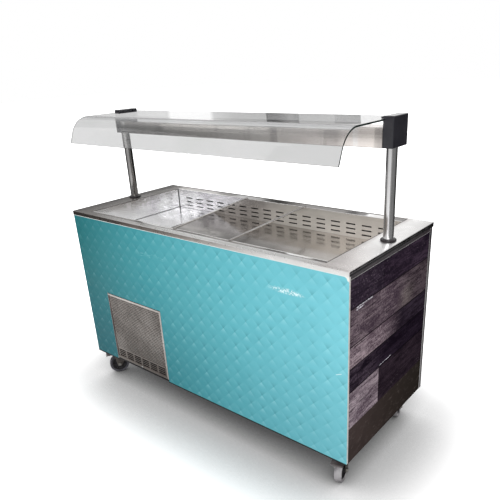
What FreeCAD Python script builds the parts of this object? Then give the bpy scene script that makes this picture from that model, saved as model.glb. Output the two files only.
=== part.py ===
import FreeCAD, Part
import math
import os
import Sketcher

# Mobile refrigerated salad bar, in millimetres: X along the counter, -Y towards the customer, +Z up.
# The origin lies on the floor under the middle of the worktop.

Vector = FreeCAD.Vector
Rotation = FreeCAD.Rotation

SIZES = {
    # worktop
    "worktop_length": 1520,
    "worktop_depth": 640,
    "worktop_height": 900,
    "worktop_skirt": 18,
    "worktop_sheet": 1.5,
    # well
    "well_side_margin": 107,
    "cutout_front_margin": 32,
    "cutout_rear_margin": 16,
    "duct_front_margin": 48,
    "duct_rear_margin": 58,
    "tank_front_margin": 38,
    "tank_rear_margin": 47,
    "tank_rim": 10,
    "well_depth": 100,
    "tank_depth": 200,
    "well_sheet": 1.5,
    "slot_length": 46,
    "slot_height": 6,
    "slot_pitch": 76.2,
    "slot_row_pitch": 20.3,
    "slot_row_drop": 43,
    "slot_edge_margin": 35,
    "base_plate_skirt": 15,
    "bearer_width": 12,
    "bearer_height": 20,
    "insulation_thickness": 25,
    # loose bars that carry pans
    "bar_width": 12,
    "bar_thickness": 4,
    "bar_overlap": 9,
    "bar_left_place": -126,
    "bar_left_skew": 7.8,
    "bar_right_place": 200,
    "bar_right_skew": 4.3,
    # cabinet
    "floor_clearance": 146,
    "panel_setback": 2,
    "rear_setback": 8,
    "front_board": 9,
    "end_board": 12,
    "rear_tray_depth": 12,
    "panel_sheet": 1.2,
    "plinth_height": 150,
    "trim_width": 15,
    "rear_trim_width": 25,
    "tray_sheet": 2,
    "tube_size": 25,
    "tube_wall": 1.5,
    "side_rail_place": 380,
    # grille in the front panel
    "grille_inset": 173,
    "grille_width": 384,
    "grille_height": 352,
    "grille_gap": 12,
    "grille_bar": 8,
    "grille_bottom_bar": 12,
    "grille_proud": 0.5,
    "grille_sheet": 1.5,
    "grille_sheet_recess": 2,
    "hole_size": 10,
    "hole_pitch": 18,
    "vent_row_height": 36,
    "vent_rib": 13,
    "vent_groups": 6,
    "vent_slit": 8,
    "vent_web": 4,
    "screw_head_radius": 4.5,
    "screw_radius": 2,
    "screw_head": 1.5,
    # gantry
    "post_inset": 44,
    "post_offset": 20,
    "post_radius": 19,
    "post_wall": 1.5,
    "post_tail": 30,
    "post_socket": 40,
    "collar_radius": 29,
    "collar_height": 8,
    "cap_rise": 326,
    "cap_height": 104,
    "cap_width": 40,
    "cap_front": 35,
    "cap_rear": 70,
    "cap_rounding": 2.5,
    "beam_height": 64,
    "beam_sheet": 1.5,
    "beam_lip": 8,
    "diffuser_thickness": 3,
    "glass_thickness": 6,
    "glass_recess": 9,
    "glass_entry": 8,
    "glass_rear_margin": 4,
    "glass_flat_front": 190,
    "glass_bend_radius": 98,
    "glass_bend_angle": 68,
    "glass_drop": 50,
    "clip_length": 13,
    "clip_width": 8,
    # castors
    "castor_inset_x": 75,
    "castor_inset_y": 102,
    "castor_trail": 32,
    "wheel_radius": 50,
    "tyre_depth": 12,
    "tyre_half_width": 15,
    "hub_half_length": 18.7,
    "axle_radius": 5,
    "axle_nut": 5,
    "fork_half_gap": 19,
    "fork_sheet": 3,
    "castor_plate_length": 95,
    "castor_plate_width": 70,
    "castor_plate_sheet": 4,
    "castor_bolt_span_x": 70,
    "castor_bolt_span_y": 48,
    "castor_bolt_radius": 4,
    "castor_bolt_head": 5,
    "race_radius": 31,
    "race_height": 8,
    "kingpin_radius": 6,
    "pedal_pivot_radius": 3,
    "pedal_reach": 46,
    "pedal_half_width": 24,
    # refrigeration
    "fan_aperture": 36,
    "fan_tip_gap": 3,
    "fan_spacing": 300,
    "fan_rise": 42,
    "fan_depth": 18,
    "fan_motor_length": 34,
    "fan_motor_radius": 17,
    "evaporator_half_length": 480,
    "evaporator_height": 66,
    "evaporator_front": 150,
    "evaporator_rear": 120,
    "evaporator_fin_pitch": 48,
    "condenser_length": 330,
    "condenser_height": 300,
    "condenser_depth": 50,
    "condenser_side": 3,
    "condenser_fin_pitch": 22,
    "condenser_fan_aperture": 128,
    "condenser_fan_depth": 40,
    "condenser_motor_length": 60,
    "condenser_motor_radius": 40,
    "compressor_radius": 82,
    "compressor_height": 190,
    "compressor_place": 60,
    # controls on the back
    "fascia_length": 200,
    "fascia_height": 80,
    "fascia_rise": 454,
    "fascia_sheet": 1.5,
    "thermostat_length": 71,
    "thermostat_height": 29,
    "thermostat_depth": 60,
    "thermostat_bezel": 3,
    "switch_length": 21,
    "switch_height": 27,
    "switch_pin_radius": 1.5,
    "switch_proud": 3,
    "switch_tilt": 7,
    "vent_slot_length": 140,
    "vent_slot_height": 8,
    "vent_slot_pitch": 22,
    "gland_radius": 12,
    "gland_length": 24,
    # clearances
    "running_gap": 0.05,
    "assembly_gap": 0.3,
    "fitting_gap": 1,
}

SLOT_ROWS = 3
FRONT, REAR, LEFT, RIGHT = -1, 1, -1, 1

# where each castor stands, and which way its wheel trails at rest, in degrees from +X
CASTORS = {
    "front_left": (LEFT, FRONT, -122),
    "front_right": (RIGHT, FRONT, -75),
    "rear_left": (LEFT, REAR, 120),
    "rear_right": (RIGHT, REAR, 104),
}

document = FreeCAD.newDocument("salad_bar")
nodes = []


# ---------------------------------------------------------------- sizes that keep their expression


class Size:
    """A length or angle: its value, and the expression on the spreadsheet that gives it."""

    def __init__(self, value, text):
        self.value = float(value)
        self.text = text

    def __add__(self, other):
        other = as_size(other)
        return Size(self.value + other.value, f"({self.text} + {other.text})")

    def __sub__(self, other):
        other = as_size(other)
        return Size(self.value - other.value, f"({self.text} - {other.text})")

    def __mul__(self, other):
        other = as_size(other)
        return Size(self.value * other.value, f"({self.text} * {other.text})")

    def __truediv__(self, other):
        other = as_size(other)
        return Size(self.value / other.value, f"({self.text} / {other.text})")

    def __neg__(self):
        return Size(-self.value, f"(0 - {self.text})")


def as_size(number):
    """Turns a plain number into a Size, and leaves a Size as it is."""
    if isinstance(number, Size):
        return number
    return Size(number, f"({number})")


def sine(angle):
    return Size(math.sin(math.radians(angle.value)), f"sin({angle.text})")


def cosine(angle):
    return Size(math.cos(math.radians(angle.value)), f"cos({angle.text})")


class Spreadsheet:
    """The sheet of driving sizes; sizes.alias gives that cell as a Size."""

    def __init__(self, values):
        self.values = values
        sheet = document.addObject("Spreadsheet::Sheet", "sizes")
        for row, (alias, value) in enumerate(values.items(), start=1):
            sheet.set(f"A{row}", alias.replace("_", " "))
            sheet.set(f"B{row}", str(value))
            sheet.setAlias(f"B{row}", alias)
        document.recompute()

    def __getattr__(self, alias):
        return Size(self.values[alias], f"sizes.{alias}")


sizes = Spreadsheet(SIZES)


# ---------------------------------------------------------------- helpers


def bind(thing, **sizes_of):
    """Ties properties of an object to their expressions."""
    for name, size in sizes_of.items():
        thing.setExpression(name, as_size(size).text)
    return thing


def place(thing, x=0, y=0, z=0, turn=None, about=Vector(0, 0, 1)):
    """Puts an object at x, y, z, turned by the angle turn about Z or another axis."""
    if turn is not None:
        thing.Placement = FreeCAD.Placement(Vector(), Rotation(about, turn.value))
        thing.setExpression("Placement.Rotation.Angle", turn.text)
    for axis, size in (("x", x), ("y", y), ("z", z)):
        thing.setExpression(f"Placement.Base.{axis}", as_size(size).text)
    return thing


def box(name, low, high):
    """A block between two opposite corners."""
    block = document.addObject("Part::Box", name)
    low = [as_size(value) for value in low]
    high = [as_size(value) for value in high]
    bind(block, Length=high[0] - low[0], Width=high[1] - low[1], Height=high[2] - low[2])
    return place(block, *low)


def rod(name, radius, length, start, axis="Z"):
    """A round bar from start along an axis."""
    turned = {"X": Rotation(Vector(0, 1, 0), 90), "Y": Rotation(Vector(1, 0, 0), -90), "Z": Rotation()}
    bar = document.addObject("Part::Cylinder", name)
    bar.Placement = FreeCAD.Placement(Vector(), turned[axis])
    bind(bar, Radius=radius, Height=length)
    return place(bar, *start)


def hexagon(name, radius, length, start, axis="Z"):
    """A hexagonal bar from start along an axis, such as a bolt head or a nut."""
    turned = {"Y": Rotation(Vector(1, 0, 0), -90), "Z": Rotation()}
    bar = document.addObject("Part::Prism", name)
    bar.Polygon = 6
    bar.Placement = FreeCAD.Placement(Vector(), turned[axis])
    bind(bar, Circumradius=radius, Height=length)
    return place(bar, *start)


def group(name, pieces):
    """Separate solids held in one object."""
    joined = document.addObject("Part::Compound", name)
    joined.Links = pieces
    return joined


def square_tube(name, low, high, along):
    """A square tube between two corners, open at both ends; along is 0, 1 or 2 for X, Y or Z."""
    wall = sizes.tube_wall
    inner_low = [as_size(value) if axis == along else value + wall for axis, value in enumerate(low)]
    inner_high = [as_size(value) if axis == along else value - wall for axis, value in enumerate(high)]
    return cut(name, box(f"{name}_outer", low, high), [box(f"{name}_inner", inner_low, inner_high)])


def fuse(name, pieces):
    """One solid made of several."""
    joined = document.addObject("Part::MultiFuse", name)
    joined.Shapes = pieces
    return joined


def cut(name, base, tools):
    """What is left of base once the tools are taken out."""
    left = document.addObject("Part::Cut", name)
    left.Base = base
    left.Tool = tools[0] if len(tools) == 1 else group(f"{name}_tools", tools)
    return left


def node(thing, label):
    """Names an object as a sub-part that is written out."""
    thing.Label = label
    nodes.append(thing)
    return thing


def new_body(name):
    return document.addObject("PartDesign::Body", name)


def new_sketch(body, plane, loops=(), circles=(), lift=None):
    """A sketch on one of the body's planes: closed outlines and circles, each point set by expressions."""
    count = len(body.Group)
    drawing = body.newObject("Sketcher::SketchObject", f"{body.Name}_sketch_{count}")
    support = [item for item in body.Origin.OriginFeatures if item.Role == plane][0]
    drawing.AttachmentSupport = [(support, "")]
    drawing.MapMode = "FlatFace"
    if lift is not None:
        drawing.setExpression("AttachmentOffset.Base.z", as_size(lift).text)
    for loop in loops:
        points = [(as_size(x), as_size(y)) for x, y in loop]
        first = drawing.GeometryCount
        for index, (x, y) in enumerate(points):
            to_x, to_y = points[(index + 1) % len(points)]
            line = Part.LineSegment(Vector(x.value, y.value, 0), Vector(to_x.value, to_y.value, 0))
            drawing.addGeometry(line, False)
        for index in range(len(points)):
            after = first + (index + 1) % len(points)
            drawing.addConstraint(Sketcher.Constraint("Coincident", first + index, 2, after, 1))
        for index, (x, y) in enumerate(points):
            fix(drawing, "DistanceX", (first + index, 1), x)
            fix(drawing, "DistanceY", (first + index, 1), y)
    for x, y, radius in circles:
        x, y, radius = as_size(x), as_size(y), as_size(radius)
        circle = Part.Circle(Vector(x.value, y.value, 0), Vector(0, 0, 1), radius.value)
        index = drawing.addGeometry(circle, False)
        fix(drawing, "Radius", (index,), radius)
        fix(drawing, "DistanceX", (index, 3), x)
        fix(drawing, "DistanceY", (index, 3), y)
    return drawing


def fix(drawing, kind, where, size):
    """Adds one dimension to a sketch and ties it to its expression."""
    index = drawing.addConstraint(Sketcher.Constraint(kind, *where, size.value))
    drawing.setExpression(f"Constraints[{index}]", size.text)


def rectangle(x_low, y_low, x_high, y_high):
    return [(x_low, y_low), (x_high, y_low), (x_high, y_high), (x_low, y_high)]


def pad(body, drawing, length, backwards=False, both_ways=False):
    feature = body.newObject("PartDesign::Pad", f"{body.Name}_pad_{len(body.Group)}")
    feature.Profile = drawing
    feature.Reversed = backwards
    feature.Midplane = both_ways
    drawing.Visibility = False
    return bind(feature, Length=length)


def pocket(body, drawing, length=None, backwards=False, both_ways=False):
    """Cuts a sketch into the body, right through where no length is given."""
    feature = body.newObject("PartDesign::Pocket", f"{body.Name}_pocket_{len(body.Group)}")
    feature.Profile = drawing
    feature.Reversed = backwards
    feature.Midplane = both_ways
    drawing.Visibility = False
    if length is None:
        feature.Type = "ThroughAll"
        return feature
    return bind(feature, Length=length)


def slab(name, plane, outline, thickness, holes=(), circles=(), both_ways=False):
    """A flat piece: an outline with openings, pushed out of its plane."""
    body = new_body(name)
    pad(body, new_sketch(body, plane, [outline, *holes], circles), thickness, both_ways=both_ways)
    return body


def turned(name, plane, axis, profile):
    """A round piece: a profile spun about one axis of its sketch."""
    body = new_body(name)
    drawing = new_sketch(body, plane, [profile])
    feature = body.newObject("PartDesign::Revolution", f"{name}_revolution")
    feature.Profile = drawing
    feature.ReferenceAxis = (drawing, [axis])
    feature.Angle = 360
    drawing.Visibility = False
    return body


def ring(name, inner, outer, length):
    """A flat ring about Z, with its upper outer corner broken."""
    corner = length / 3
    profile = [(inner, 0), (outer, 0), (outer, length - corner), (outer - corner, length), (inner, length)]
    return turned(name, "XZ_Plane", "V_Axis", profile)


# ---------------------------------------------------------------- shared places

half_length = sizes.worktop_length / 2
half_depth = sizes.worktop_depth / 2
top = sizes.worktop_height
sheet_under = top - sizes.worktop_sheet
panel_top = top - sizes.worktop_skirt
panel_bottom = sizes.floor_clearance
tray_top = panel_bottom + sizes.tray_sheet

well_x = half_length - sizes.well_side_margin
cutout_front = -(half_depth - sizes.cutout_front_margin)
cutout_rear = half_depth - sizes.cutout_rear_margin
front_wall = -(half_depth - sizes.duct_front_margin)
rear_wall = half_depth - sizes.duct_rear_margin
tank_front = -(half_depth - sizes.tank_front_margin)
tank_rear = half_depth - sizes.tank_rear_margin
plate_top = top - sizes.well_depth
plate_bottom = plate_top - sizes.base_plate_skirt
tank_floor = top - sizes.tank_depth

front_face = -(half_depth - sizes.panel_setback)
front_inner = front_face + sizes.front_board
end_face = half_length - sizes.panel_setback
end_inner = end_face - sizes.end_board
rear_face = half_depth - sizes.rear_setback
rear_inner = rear_face - sizes.rear_tray_depth
rail_top = sheet_under - sizes.well_sheet
rail_bottom = rail_top - sizes.tube_size

grille_low_x = sizes.grille_inset - half_length
grille_high_x = grille_low_x + sizes.grille_width
grille_middle = grille_low_x + sizes.grille_width / 2
grille_low_z = panel_bottom + sizes.grille_gap
grille_high_z = grille_low_z + sizes.grille_height

post_x = half_length - sizes.post_inset
post_y = sizes.post_offset
cap_bottom = top + sizes.cap_rise
cap_top = cap_bottom + sizes.cap_height
cap_inner = post_x - sizes.cap_width / 2
cap_front = post_y - sizes.cap_front
cap_rear = post_y + sizes.cap_rear
glass_top = cap_top - sizes.glass_recess
glass_bottom = glass_top - sizes.glass_thickness

castor_x = half_length - sizes.castor_inset_x
castor_y = half_depth - sizes.castor_inset_y


# ---------------------------------------------------------------- worktop and well


def worktop():
    """Folded stainless sheet: turned-down edges, the well's cut-out and a hole for each post."""
    body = new_body("worktop_body")
    outer = rectangle(-half_length, -half_depth, half_length, half_depth)
    inner_x = half_length - sizes.worktop_sheet
    inner_y = half_depth - sizes.worktop_sheet
    inner = rectangle(-inner_x, -inner_y, inner_x, inner_y)
    cutout = rectangle(-well_x, cutout_front, well_x, cutout_rear)
    hole = sizes.post_radius + sizes.assembly_gap
    pad(body, new_sketch(body, "XY_Plane", [outer]), sizes.worktop_skirt, backwards=True)
    pocket(body, new_sketch(body, "XY_Plane", [inner], lift=-sizes.worktop_sheet))
    holes = [(post_x * side, post_y, hole) for side in (LEFT, RIGHT)]
    pocket(body, new_sketch(body, "XY_Plane", [cutout], holes))
    node(place(body, z=top), "worktop")


def well_tank():
    """Open stainless box that hangs by its rim between the worktop and the rails."""
    wall = sizes.well_sheet
    rim = sizes.tank_rim
    outer = box(
        "tank_outer",
        (-well_x - wall, tank_front - wall, tank_floor - wall),
        (well_x + wall, tank_rear + wall, sheet_under),
    )
    flange = box(
        "tank_rim",
        (-well_x - wall - rim, cutout_front - rim, sheet_under - wall),
        (well_x + wall + rim, cutout_rear + rim, sheet_under),
    )
    inner = box("tank_inner", (-well_x, tank_front, tank_floor), (well_x, tank_rear, top))
    node(cut("tank", fuse("tank_with_rim", [outer, flange]), [inner]), "well_tank")


def well_insulation():
    """Five foam slabs round the tank, under the top rails."""
    wall = sizes.well_sheet
    foam = sizes.insulation_thickness
    x, y_low, y_high = well_x + wall, tank_front - wall, tank_rear + wall
    low = tank_floor - wall
    slabs = [
        box("foam_front", (-x, y_low - foam, low), (x, y_low, rail_bottom)),
        box("foam_rear", (-x, y_high, low), (x, y_high + foam, rail_bottom)),
        box("foam_left", (-x - foam, y_low - foam, low), (-x, y_high + foam, rail_bottom)),
        box("foam_right", (x, y_low - foam, low), (x + foam, y_high + foam, rail_bottom)),
        box("foam_bottom", (-x - foam, y_low - foam, low - foam), (x + foam, y_high + foam, low)),
    ]
    node(group("foam", slabs), "well_insulation")


def air_duct(side, label):
    """Upright slotted sheet whose top flange lies on the tank's rim, flush with the worktop."""
    wall = sizes.well_sheet
    face, edge = (front_wall, cutout_front) if side == FRONT else (rear_wall, cutout_rear)
    end = well_x - sizes.assembly_gap
    height = top - tank_floor
    reach = edge - face - sizes.assembly_gap * side
    depth = wall * side
    body = new_body(f"{label}_body")
    under = height - wall
    profile = [(0, 0), (depth, 0), (depth, under), (reach, under), (reach, height), (0, height)]
    pad(body, new_sketch(body, "YZ_Plane", [profile]), end * 2, both_ways=True)

    columns = int((2 * end.value - 2 * sizes.slot_edge_margin.value) // sizes.slot_pitch.value)
    columns -= columns % 2
    first = sizes.slot_pitch * (0.5 - columns / 2) - sizes.slot_length / 2
    rows = []
    for row in range(SLOT_ROWS):
        middle = height - sizes.slot_row_drop - sizes.slot_row_pitch * row
        half = sizes.slot_height / 2
        rows.append(rectangle(first, middle - half, first + sizes.slot_length, middle + half))
    slots = pocket(body, new_sketch(body, "XZ_Plane", rows), both_ways=True)
    pattern = body.newObject("PartDesign::LinearPattern", f"{label}_columns")
    pattern.Originals = [slots]
    pattern.Direction = (body.Origin.OriginFeatures[0], [""])
    pattern.Occurrences = columns
    pattern.Mode = "Spacing"
    bind(pattern, Offset=sizes.slot_pitch)
    body.Tip = pattern

    if side == REAR:
        places = [sizes.fan_spacing * x_side for x_side in (LEFT, RIGHT)]
        holes = [(place_x, sizes.fan_rise, sizes.fan_aperture) for place_x in places]
        pocket(body, new_sketch(body, "XZ_Plane", circles=holes), both_ways=True)
    else:
        half = sizes.fan_spacing / 4
        low, high = sizes.bearer_height, sizes.bearer_height * 3
        middles = (-sizes.fan_spacing, as_size(0), sizes.fan_spacing)
        inlets = [rectangle(middle - half, low, middle + half, high) for middle in middles]
        pocket(body, new_sketch(body, "XZ_Plane", inlets), both_ways=True)
    node(place(body, y=face, z=tank_floor), label)


def plate_bearers():
    """Two flat bars along the duct panels that carry the base plates."""
    x = well_x - sizes.fitting_gap
    low = plate_bottom - sizes.bearer_height
    width = sizes.bearer_width
    bars = [
        box("bearer_front", (-x, front_wall, low), (x, front_wall + width, plate_bottom)),
        box("bearer_rear", (-x, rear_wall - width, low), (x, rear_wall, plate_bottom)),
    ]
    apertures = [
        rod(f"bearer_cut_{side}", sizes.fan_aperture, width * 2,
            (sizes.fan_spacing * side, rear_wall - width * 1.5, tank_floor + sizes.fan_rise), "Y")
        for side in (LEFT, RIGHT)
    ]
    bars[1] = cut("bearer_rear_open", bars[1], apertures)
    node(group("bearers", bars), "plate_bearers")


def base_plate(side, label):
    """Half of the well's floor: a sheet with turned-down edges that lifts out."""
    gap = sizes.fitting_gap
    wall = sizes.well_sheet
    half_x = (well_x - gap * 1.5) / 2
    half_y = (rear_wall - front_wall) / 2 - gap
    body = new_body(f"{label}_body")
    outer = rectangle(-half_x, -half_y, half_x, half_y)
    inner = rectangle(wall - half_x, wall - half_y, half_x - wall, half_y - wall)
    pad(body, new_sketch(body, "XY_Plane", [outer]), sizes.base_plate_skirt, backwards=True)
    pocket(body, new_sketch(body, "XY_Plane", [inner], lift=-wall))
    middle_x = (half_x + gap / 2) * side
    node(place(body, middle_x, (front_wall + rear_wall) / 2, plate_top), label)


def pan_support_bar(label, x, skew):
    """Loose flat bar that lies askew across the well, on the two flanges."""
    half_long = (rear_wall - front_wall) / 2 + sizes.bar_overlap
    half_wide = sizes.bar_width / 2
    outline = rectangle(-half_wide, -half_long, half_wide, half_long)
    bar = slab(f"{label}_body", "XY_Plane", outline, sizes.bar_thickness)
    node(place(bar, x, (front_wall + rear_wall) / 2, top, turn=skew), label)


# ---------------------------------------------------------------- cabinet


def front_panel():
    """Decorated board with a notch at its lower edge for the grille."""
    gap = sizes.fitting_gap
    outline = [
        (-end_face, panel_bottom),
        (grille_low_x - gap, panel_bottom),
        (grille_low_x - gap, grille_high_z + gap),
        (grille_high_x + gap, grille_high_z + gap),
        (grille_high_x + gap, panel_bottom),
        (end_face, panel_bottom),
        (end_face, panel_top),
        (-end_face, panel_top),
    ]
    board = slab("front_board", "XZ_Plane", outline, sizes.front_board)
    node(place(board, y=front_inner), "front_panel")


def end_panels():
    """Plank-decor boards, the plain plinths below them, and the dark strips above and behind."""
    plinth_top = panel_bottom + sizes.plinth_height
    board_top = panel_top - sizes.trim_width
    board_rear = rear_face - sizes.rear_trim_width
    boards = []
    plinths = []
    trims = []
    for hand, low_x in (("left", -end_face), ("right", end_inner)):
        outline = rectangle(front_inner, plinth_top, board_rear, board_top)
        board = slab(f"board_{hand}", "YZ_Plane", outline, sizes.end_board)
        boards.append(place(board, x=low_x))
        high_x = low_x + sizes.end_board
        low, high = (low_x, front_inner, panel_bottom), (high_x, board_rear, plinth_top)
        plinths.append(box(f"plinth_{hand}", low, high))
        low, high = (low_x, front_inner, board_top), (high_x, board_rear, panel_top)
        trims.append(box(f"trim_top_{hand}", low, high))
        low, high = (low_x, board_rear, panel_bottom), (high_x, rear_face, panel_top)
        trims.append(box(f"trim_rear_{hand}", low, high))
    node(group("end_boards", boards), "end_panels")
    node(group("plinths", plinths), "plinth_panels")
    node(group("trims", trims), "end_trims")


def rear_panel():
    """Folded stainless panel with vent slots behind the machine bay and openings for the controls."""
    sheet = sizes.panel_sheet
    depth = sizes.rear_tray_depth
    body = new_body("rear_sheet")
    outer = rectangle(-end_inner, panel_bottom, end_inner, panel_top)
    inner = rectangle(sheet - end_inner, panel_bottom + sheet, end_inner - sheet, panel_top - sheet)
    pad(body, new_sketch(body, "XZ_Plane", [outer]), depth)
    pocket(body, new_sketch(body, "XZ_Plane", [inner], lift=sheet), depth, backwards=True)

    gap = sizes.fitting_gap
    fascia_z = panel_bottom + sizes.fascia_rise
    thermostat_x, switch_x = control_places()
    half_t, half_s = sizes.thermostat_length / 2 + gap, sizes.switch_length / 2 + gap * 3
    tall_t, tall_s = sizes.thermostat_height / 2 + gap, sizes.switch_height / 2 + gap * 3
    openings = [
        rectangle(thermostat_x - half_t, fascia_z - tall_t, thermostat_x + half_t, fascia_z + tall_t),
        rectangle(switch_x - half_s, fascia_z - tall_s, switch_x + half_s, fascia_z + tall_s),
    ]
    rows = int((sizes.condenser_height.value - sizes.tube_size.value) // sizes.vent_slot_pitch.value)
    slot_gap = sizes.vent_slot_length / 4
    for row in range(rows):
        low = tray_top + sizes.tube_size * 2 + sizes.vent_slot_pitch * row
        high = low + sizes.vent_slot_height
        for column in (LEFT, RIGHT):
            near = grille_middle + slot_gap / 2 * column
            far = near + sizes.vent_slot_length * column
            ends = (far, near) if column == LEFT else (near, far)
            openings.append(rectangle(ends[0], low, ends[1], high))
    pocket(body, new_sketch(body, "XZ_Plane", openings), both_ways=True)
    node(place(body, y=rear_face), "rear_panel")


def control_places():
    """X of the thermostat's and the switch's middles on the fascia."""
    quarter = sizes.fascia_length / 4
    return grille_middle + quarter * 0.8, grille_middle - quarter


def chassis_frame():
    """Square tubes that stand and lie just inside the panels; each tube is a solid of its own."""
    tube = sizes.tube_size
    tubes = []
    rows = (("front", front_inner, front_inner + tube), ("rear", rear_inner - tube, rear_inner))
    rail_z = tray_top + sizes.side_rail_place
    for hand, low_x in (("left", -end_inner), ("right", end_inner - tube)):
        high_x = low_x + tube
        for row, low_y, high_y in rows:
            low, high = (low_x, low_y, tray_top), (high_x, high_y, sheet_under)
            tubes.append(square_tube(f"upright_{row}_{hand}", low, high, 2))
        low = (low_x, front_inner + tube, rail_z)
        high = (high_x, rear_inner - tube, rail_z + tube)
        tubes.append(square_tube(f"side_rail_{hand}", low, high, 1))
    x = end_inner - tube
    for row, low_y, high_y in rows:
        for level, low_z in (("bottom", tray_top), ("top", rail_bottom)):
            low, high = (-x, low_y, low_z), (x, high_y, low_z + tube)
            tubes.append(square_tube(f"{level}_rail_{row}", low, high, 0))
    node(group("tubes", tubes), "chassis_frame")


def castor_bolt_places():
    for side_x, side_y, _ in CASTORS.values():
        for along in (-0.5, 0.5):
            for across in (-0.5, 0.5):
                x = castor_x * side_x + sizes.castor_bolt_span_x * along
                y = castor_y * side_y + sizes.castor_bolt_span_y * across
                yield x, y


def base_tray():
    """Steel floor of the cabinet, with holes for the castor bolts and the mains gland."""
    gap = sizes.assembly_gap
    circles = [(x, y, sizes.castor_bolt_radius + gap) for x, y in castor_bolt_places()]
    circles.append((gland_x, gland_y, sizes.gland_radius * 0.6 + gap))
    outline = rectangle(-end_inner, front_inner, end_inner, rear_inner)
    tray = slab("tray", "XY_Plane", outline, sizes.tray_sheet, circles=circles)
    node(place(tray, z=panel_bottom), "base_tray")


# ---------------------------------------------------------------- grille


def grille_frame():
    """Thin steel frame in the notch, with a deeper bottom bar for the screw."""
    bar = sizes.grille_bar
    inner_low = grille_low_z + sizes.grille_bottom_bar
    outer = rectangle(grille_low_x, grille_low_z, grille_high_x, grille_high_z)
    inner = rectangle(grille_low_x + bar, inner_low, grille_high_x - bar, grille_high_z - bar)
    frame = slab("frame_bars", "XZ_Plane", outer, sizes.front_board + sizes.grille_proud, holes=[inner])
    screw_hole = (grille_middle, screw_z, sizes.screw_radius + sizes.running_gap)
    pocket(frame, new_sketch(frame, "XZ_Plane", circles=[screw_hole]), both_ways=True)
    node(place(frame, y=front_inner), "grille_frame")


def grille_panel():
    """Perforated sheet: a field of small square holes over a row of slit groups."""
    low_x = (grille_low_x + sizes.grille_bar).value
    high_x = (grille_high_x - sizes.grille_bar).value
    low_z = (grille_low_z + sizes.grille_bottom_bar).value
    high_z = (grille_high_z - sizes.grille_bar).value
    sheet = sizes.grille_sheet.value
    outer_face = (front_face + sizes.grille_sheet_recess).value
    pitch = sizes.hole_pitch.value
    hole = sizes.hole_size.value
    row_top = low_z + sizes.vent_row_height.value

    def window(x, z, width, height):
        corners = [(x, z), (x + width, z), (x + width, z + height), (x, z + height), (x, z)]
        return Part.makePolygon([Vector(px, outer_face, pz) for px, pz in corners])

    holes = []
    columns = int((high_x - low_x - hole) // pitch)
    rows = int((high_z - row_top - hole) // pitch)
    start_x = (low_x + high_x - (columns - 1) * pitch - hole) / 2
    start_z = (row_top + high_z - (rows - 1) * pitch - hole) / 2
    for column in range(columns):
        for row in range(rows):
            holes.append(window(start_x + column * pitch, start_z + row * pitch, hole, hole))

    groups = int(sizes.vent_groups.value)
    rib = sizes.vent_rib.value
    web = sizes.vent_web.value
    width = (high_x - low_x - (groups + 1) * rib) / groups
    slits = SLOT_ROWS
    slit_width = (width - (slits - 1) * web) / slits
    slit_height = sizes.vent_slit.value
    for index in range(groups):
        for column in range(slits):
            for row in range(SLOT_ROWS):
                x = low_x + rib + index * (width + rib) + column * (slit_width + web)
                z = low_z + web + row * (slit_height + web / 2)
                holes.append(window(x, z, slit_width, slit_height))

    outline = window(low_x, low_z, high_x - low_x, high_z - low_z)
    face = Part.makeFace([outline, *holes], "Part::FaceMakerBullseye")
    panel = document.addObject("Part::Feature", "perforated_sheet")
    panel.Shape = face.extrude(Vector(0, sheet, 0))
    node(panel, "grille_panel")


def grille_screw():
    """Domed screw at the middle of the frame's bottom bar."""
    length = sizes.front_board + sizes.grille_proud
    head = sizes.screw_head
    radius = sizes.screw_head_radius
    profile = [
        (0, 0), (sizes.screw_radius, 0), (sizes.screw_radius, -length), (radius, -length),
        (radius * 0.8, -length - head * 0.8), (radius * 0.3, -length - head), (0, -length - head),
    ]
    screw = turned("screw", "XY_Plane", "V_Axis", profile)
    node(place(screw, grille_middle, front_inner, screw_z), "grille_screw")


screw_z = grille_low_z + sizes.grille_bottom_bar / 2


# ---------------------------------------------------------------- gantry


def gantry_post(side, label):
    """Polished tube from under the worktop up into its cap."""
    tail = sizes.post_tail
    length = tail + sizes.cap_rise + sizes.post_socket - sizes.assembly_gap
    body = new_body(f"{label}_body")
    circles = [(0, 0, sizes.post_radius), (0, 0, sizes.post_radius - sizes.post_wall)]
    pad(body, new_sketch(body, "XY_Plane", circles=circles), length)
    node(place(body, post_x * side, post_y, top - tail), label)


def post_collars():
    """Dark rings that clamp each post above and below the worktop sheet."""
    inner = sizes.post_radius + sizes.running_gap
    rings = []
    for side, hand in ((LEFT, "left"), (RIGHT, "right")):
        upper = ring(f"collar_upper_{hand}", inner, sizes.collar_radius, sizes.collar_height)
        lower = ring(f"collar_lower_{hand}", inner, sizes.collar_radius, sizes.collar_height)
        rings.append(place(upper, post_x * side, post_y, top))
        rings.append(place(lower, post_x * side, post_y, sheet_under - sizes.collar_height))
    node(group("collars", rings), "post_collars")


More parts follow.
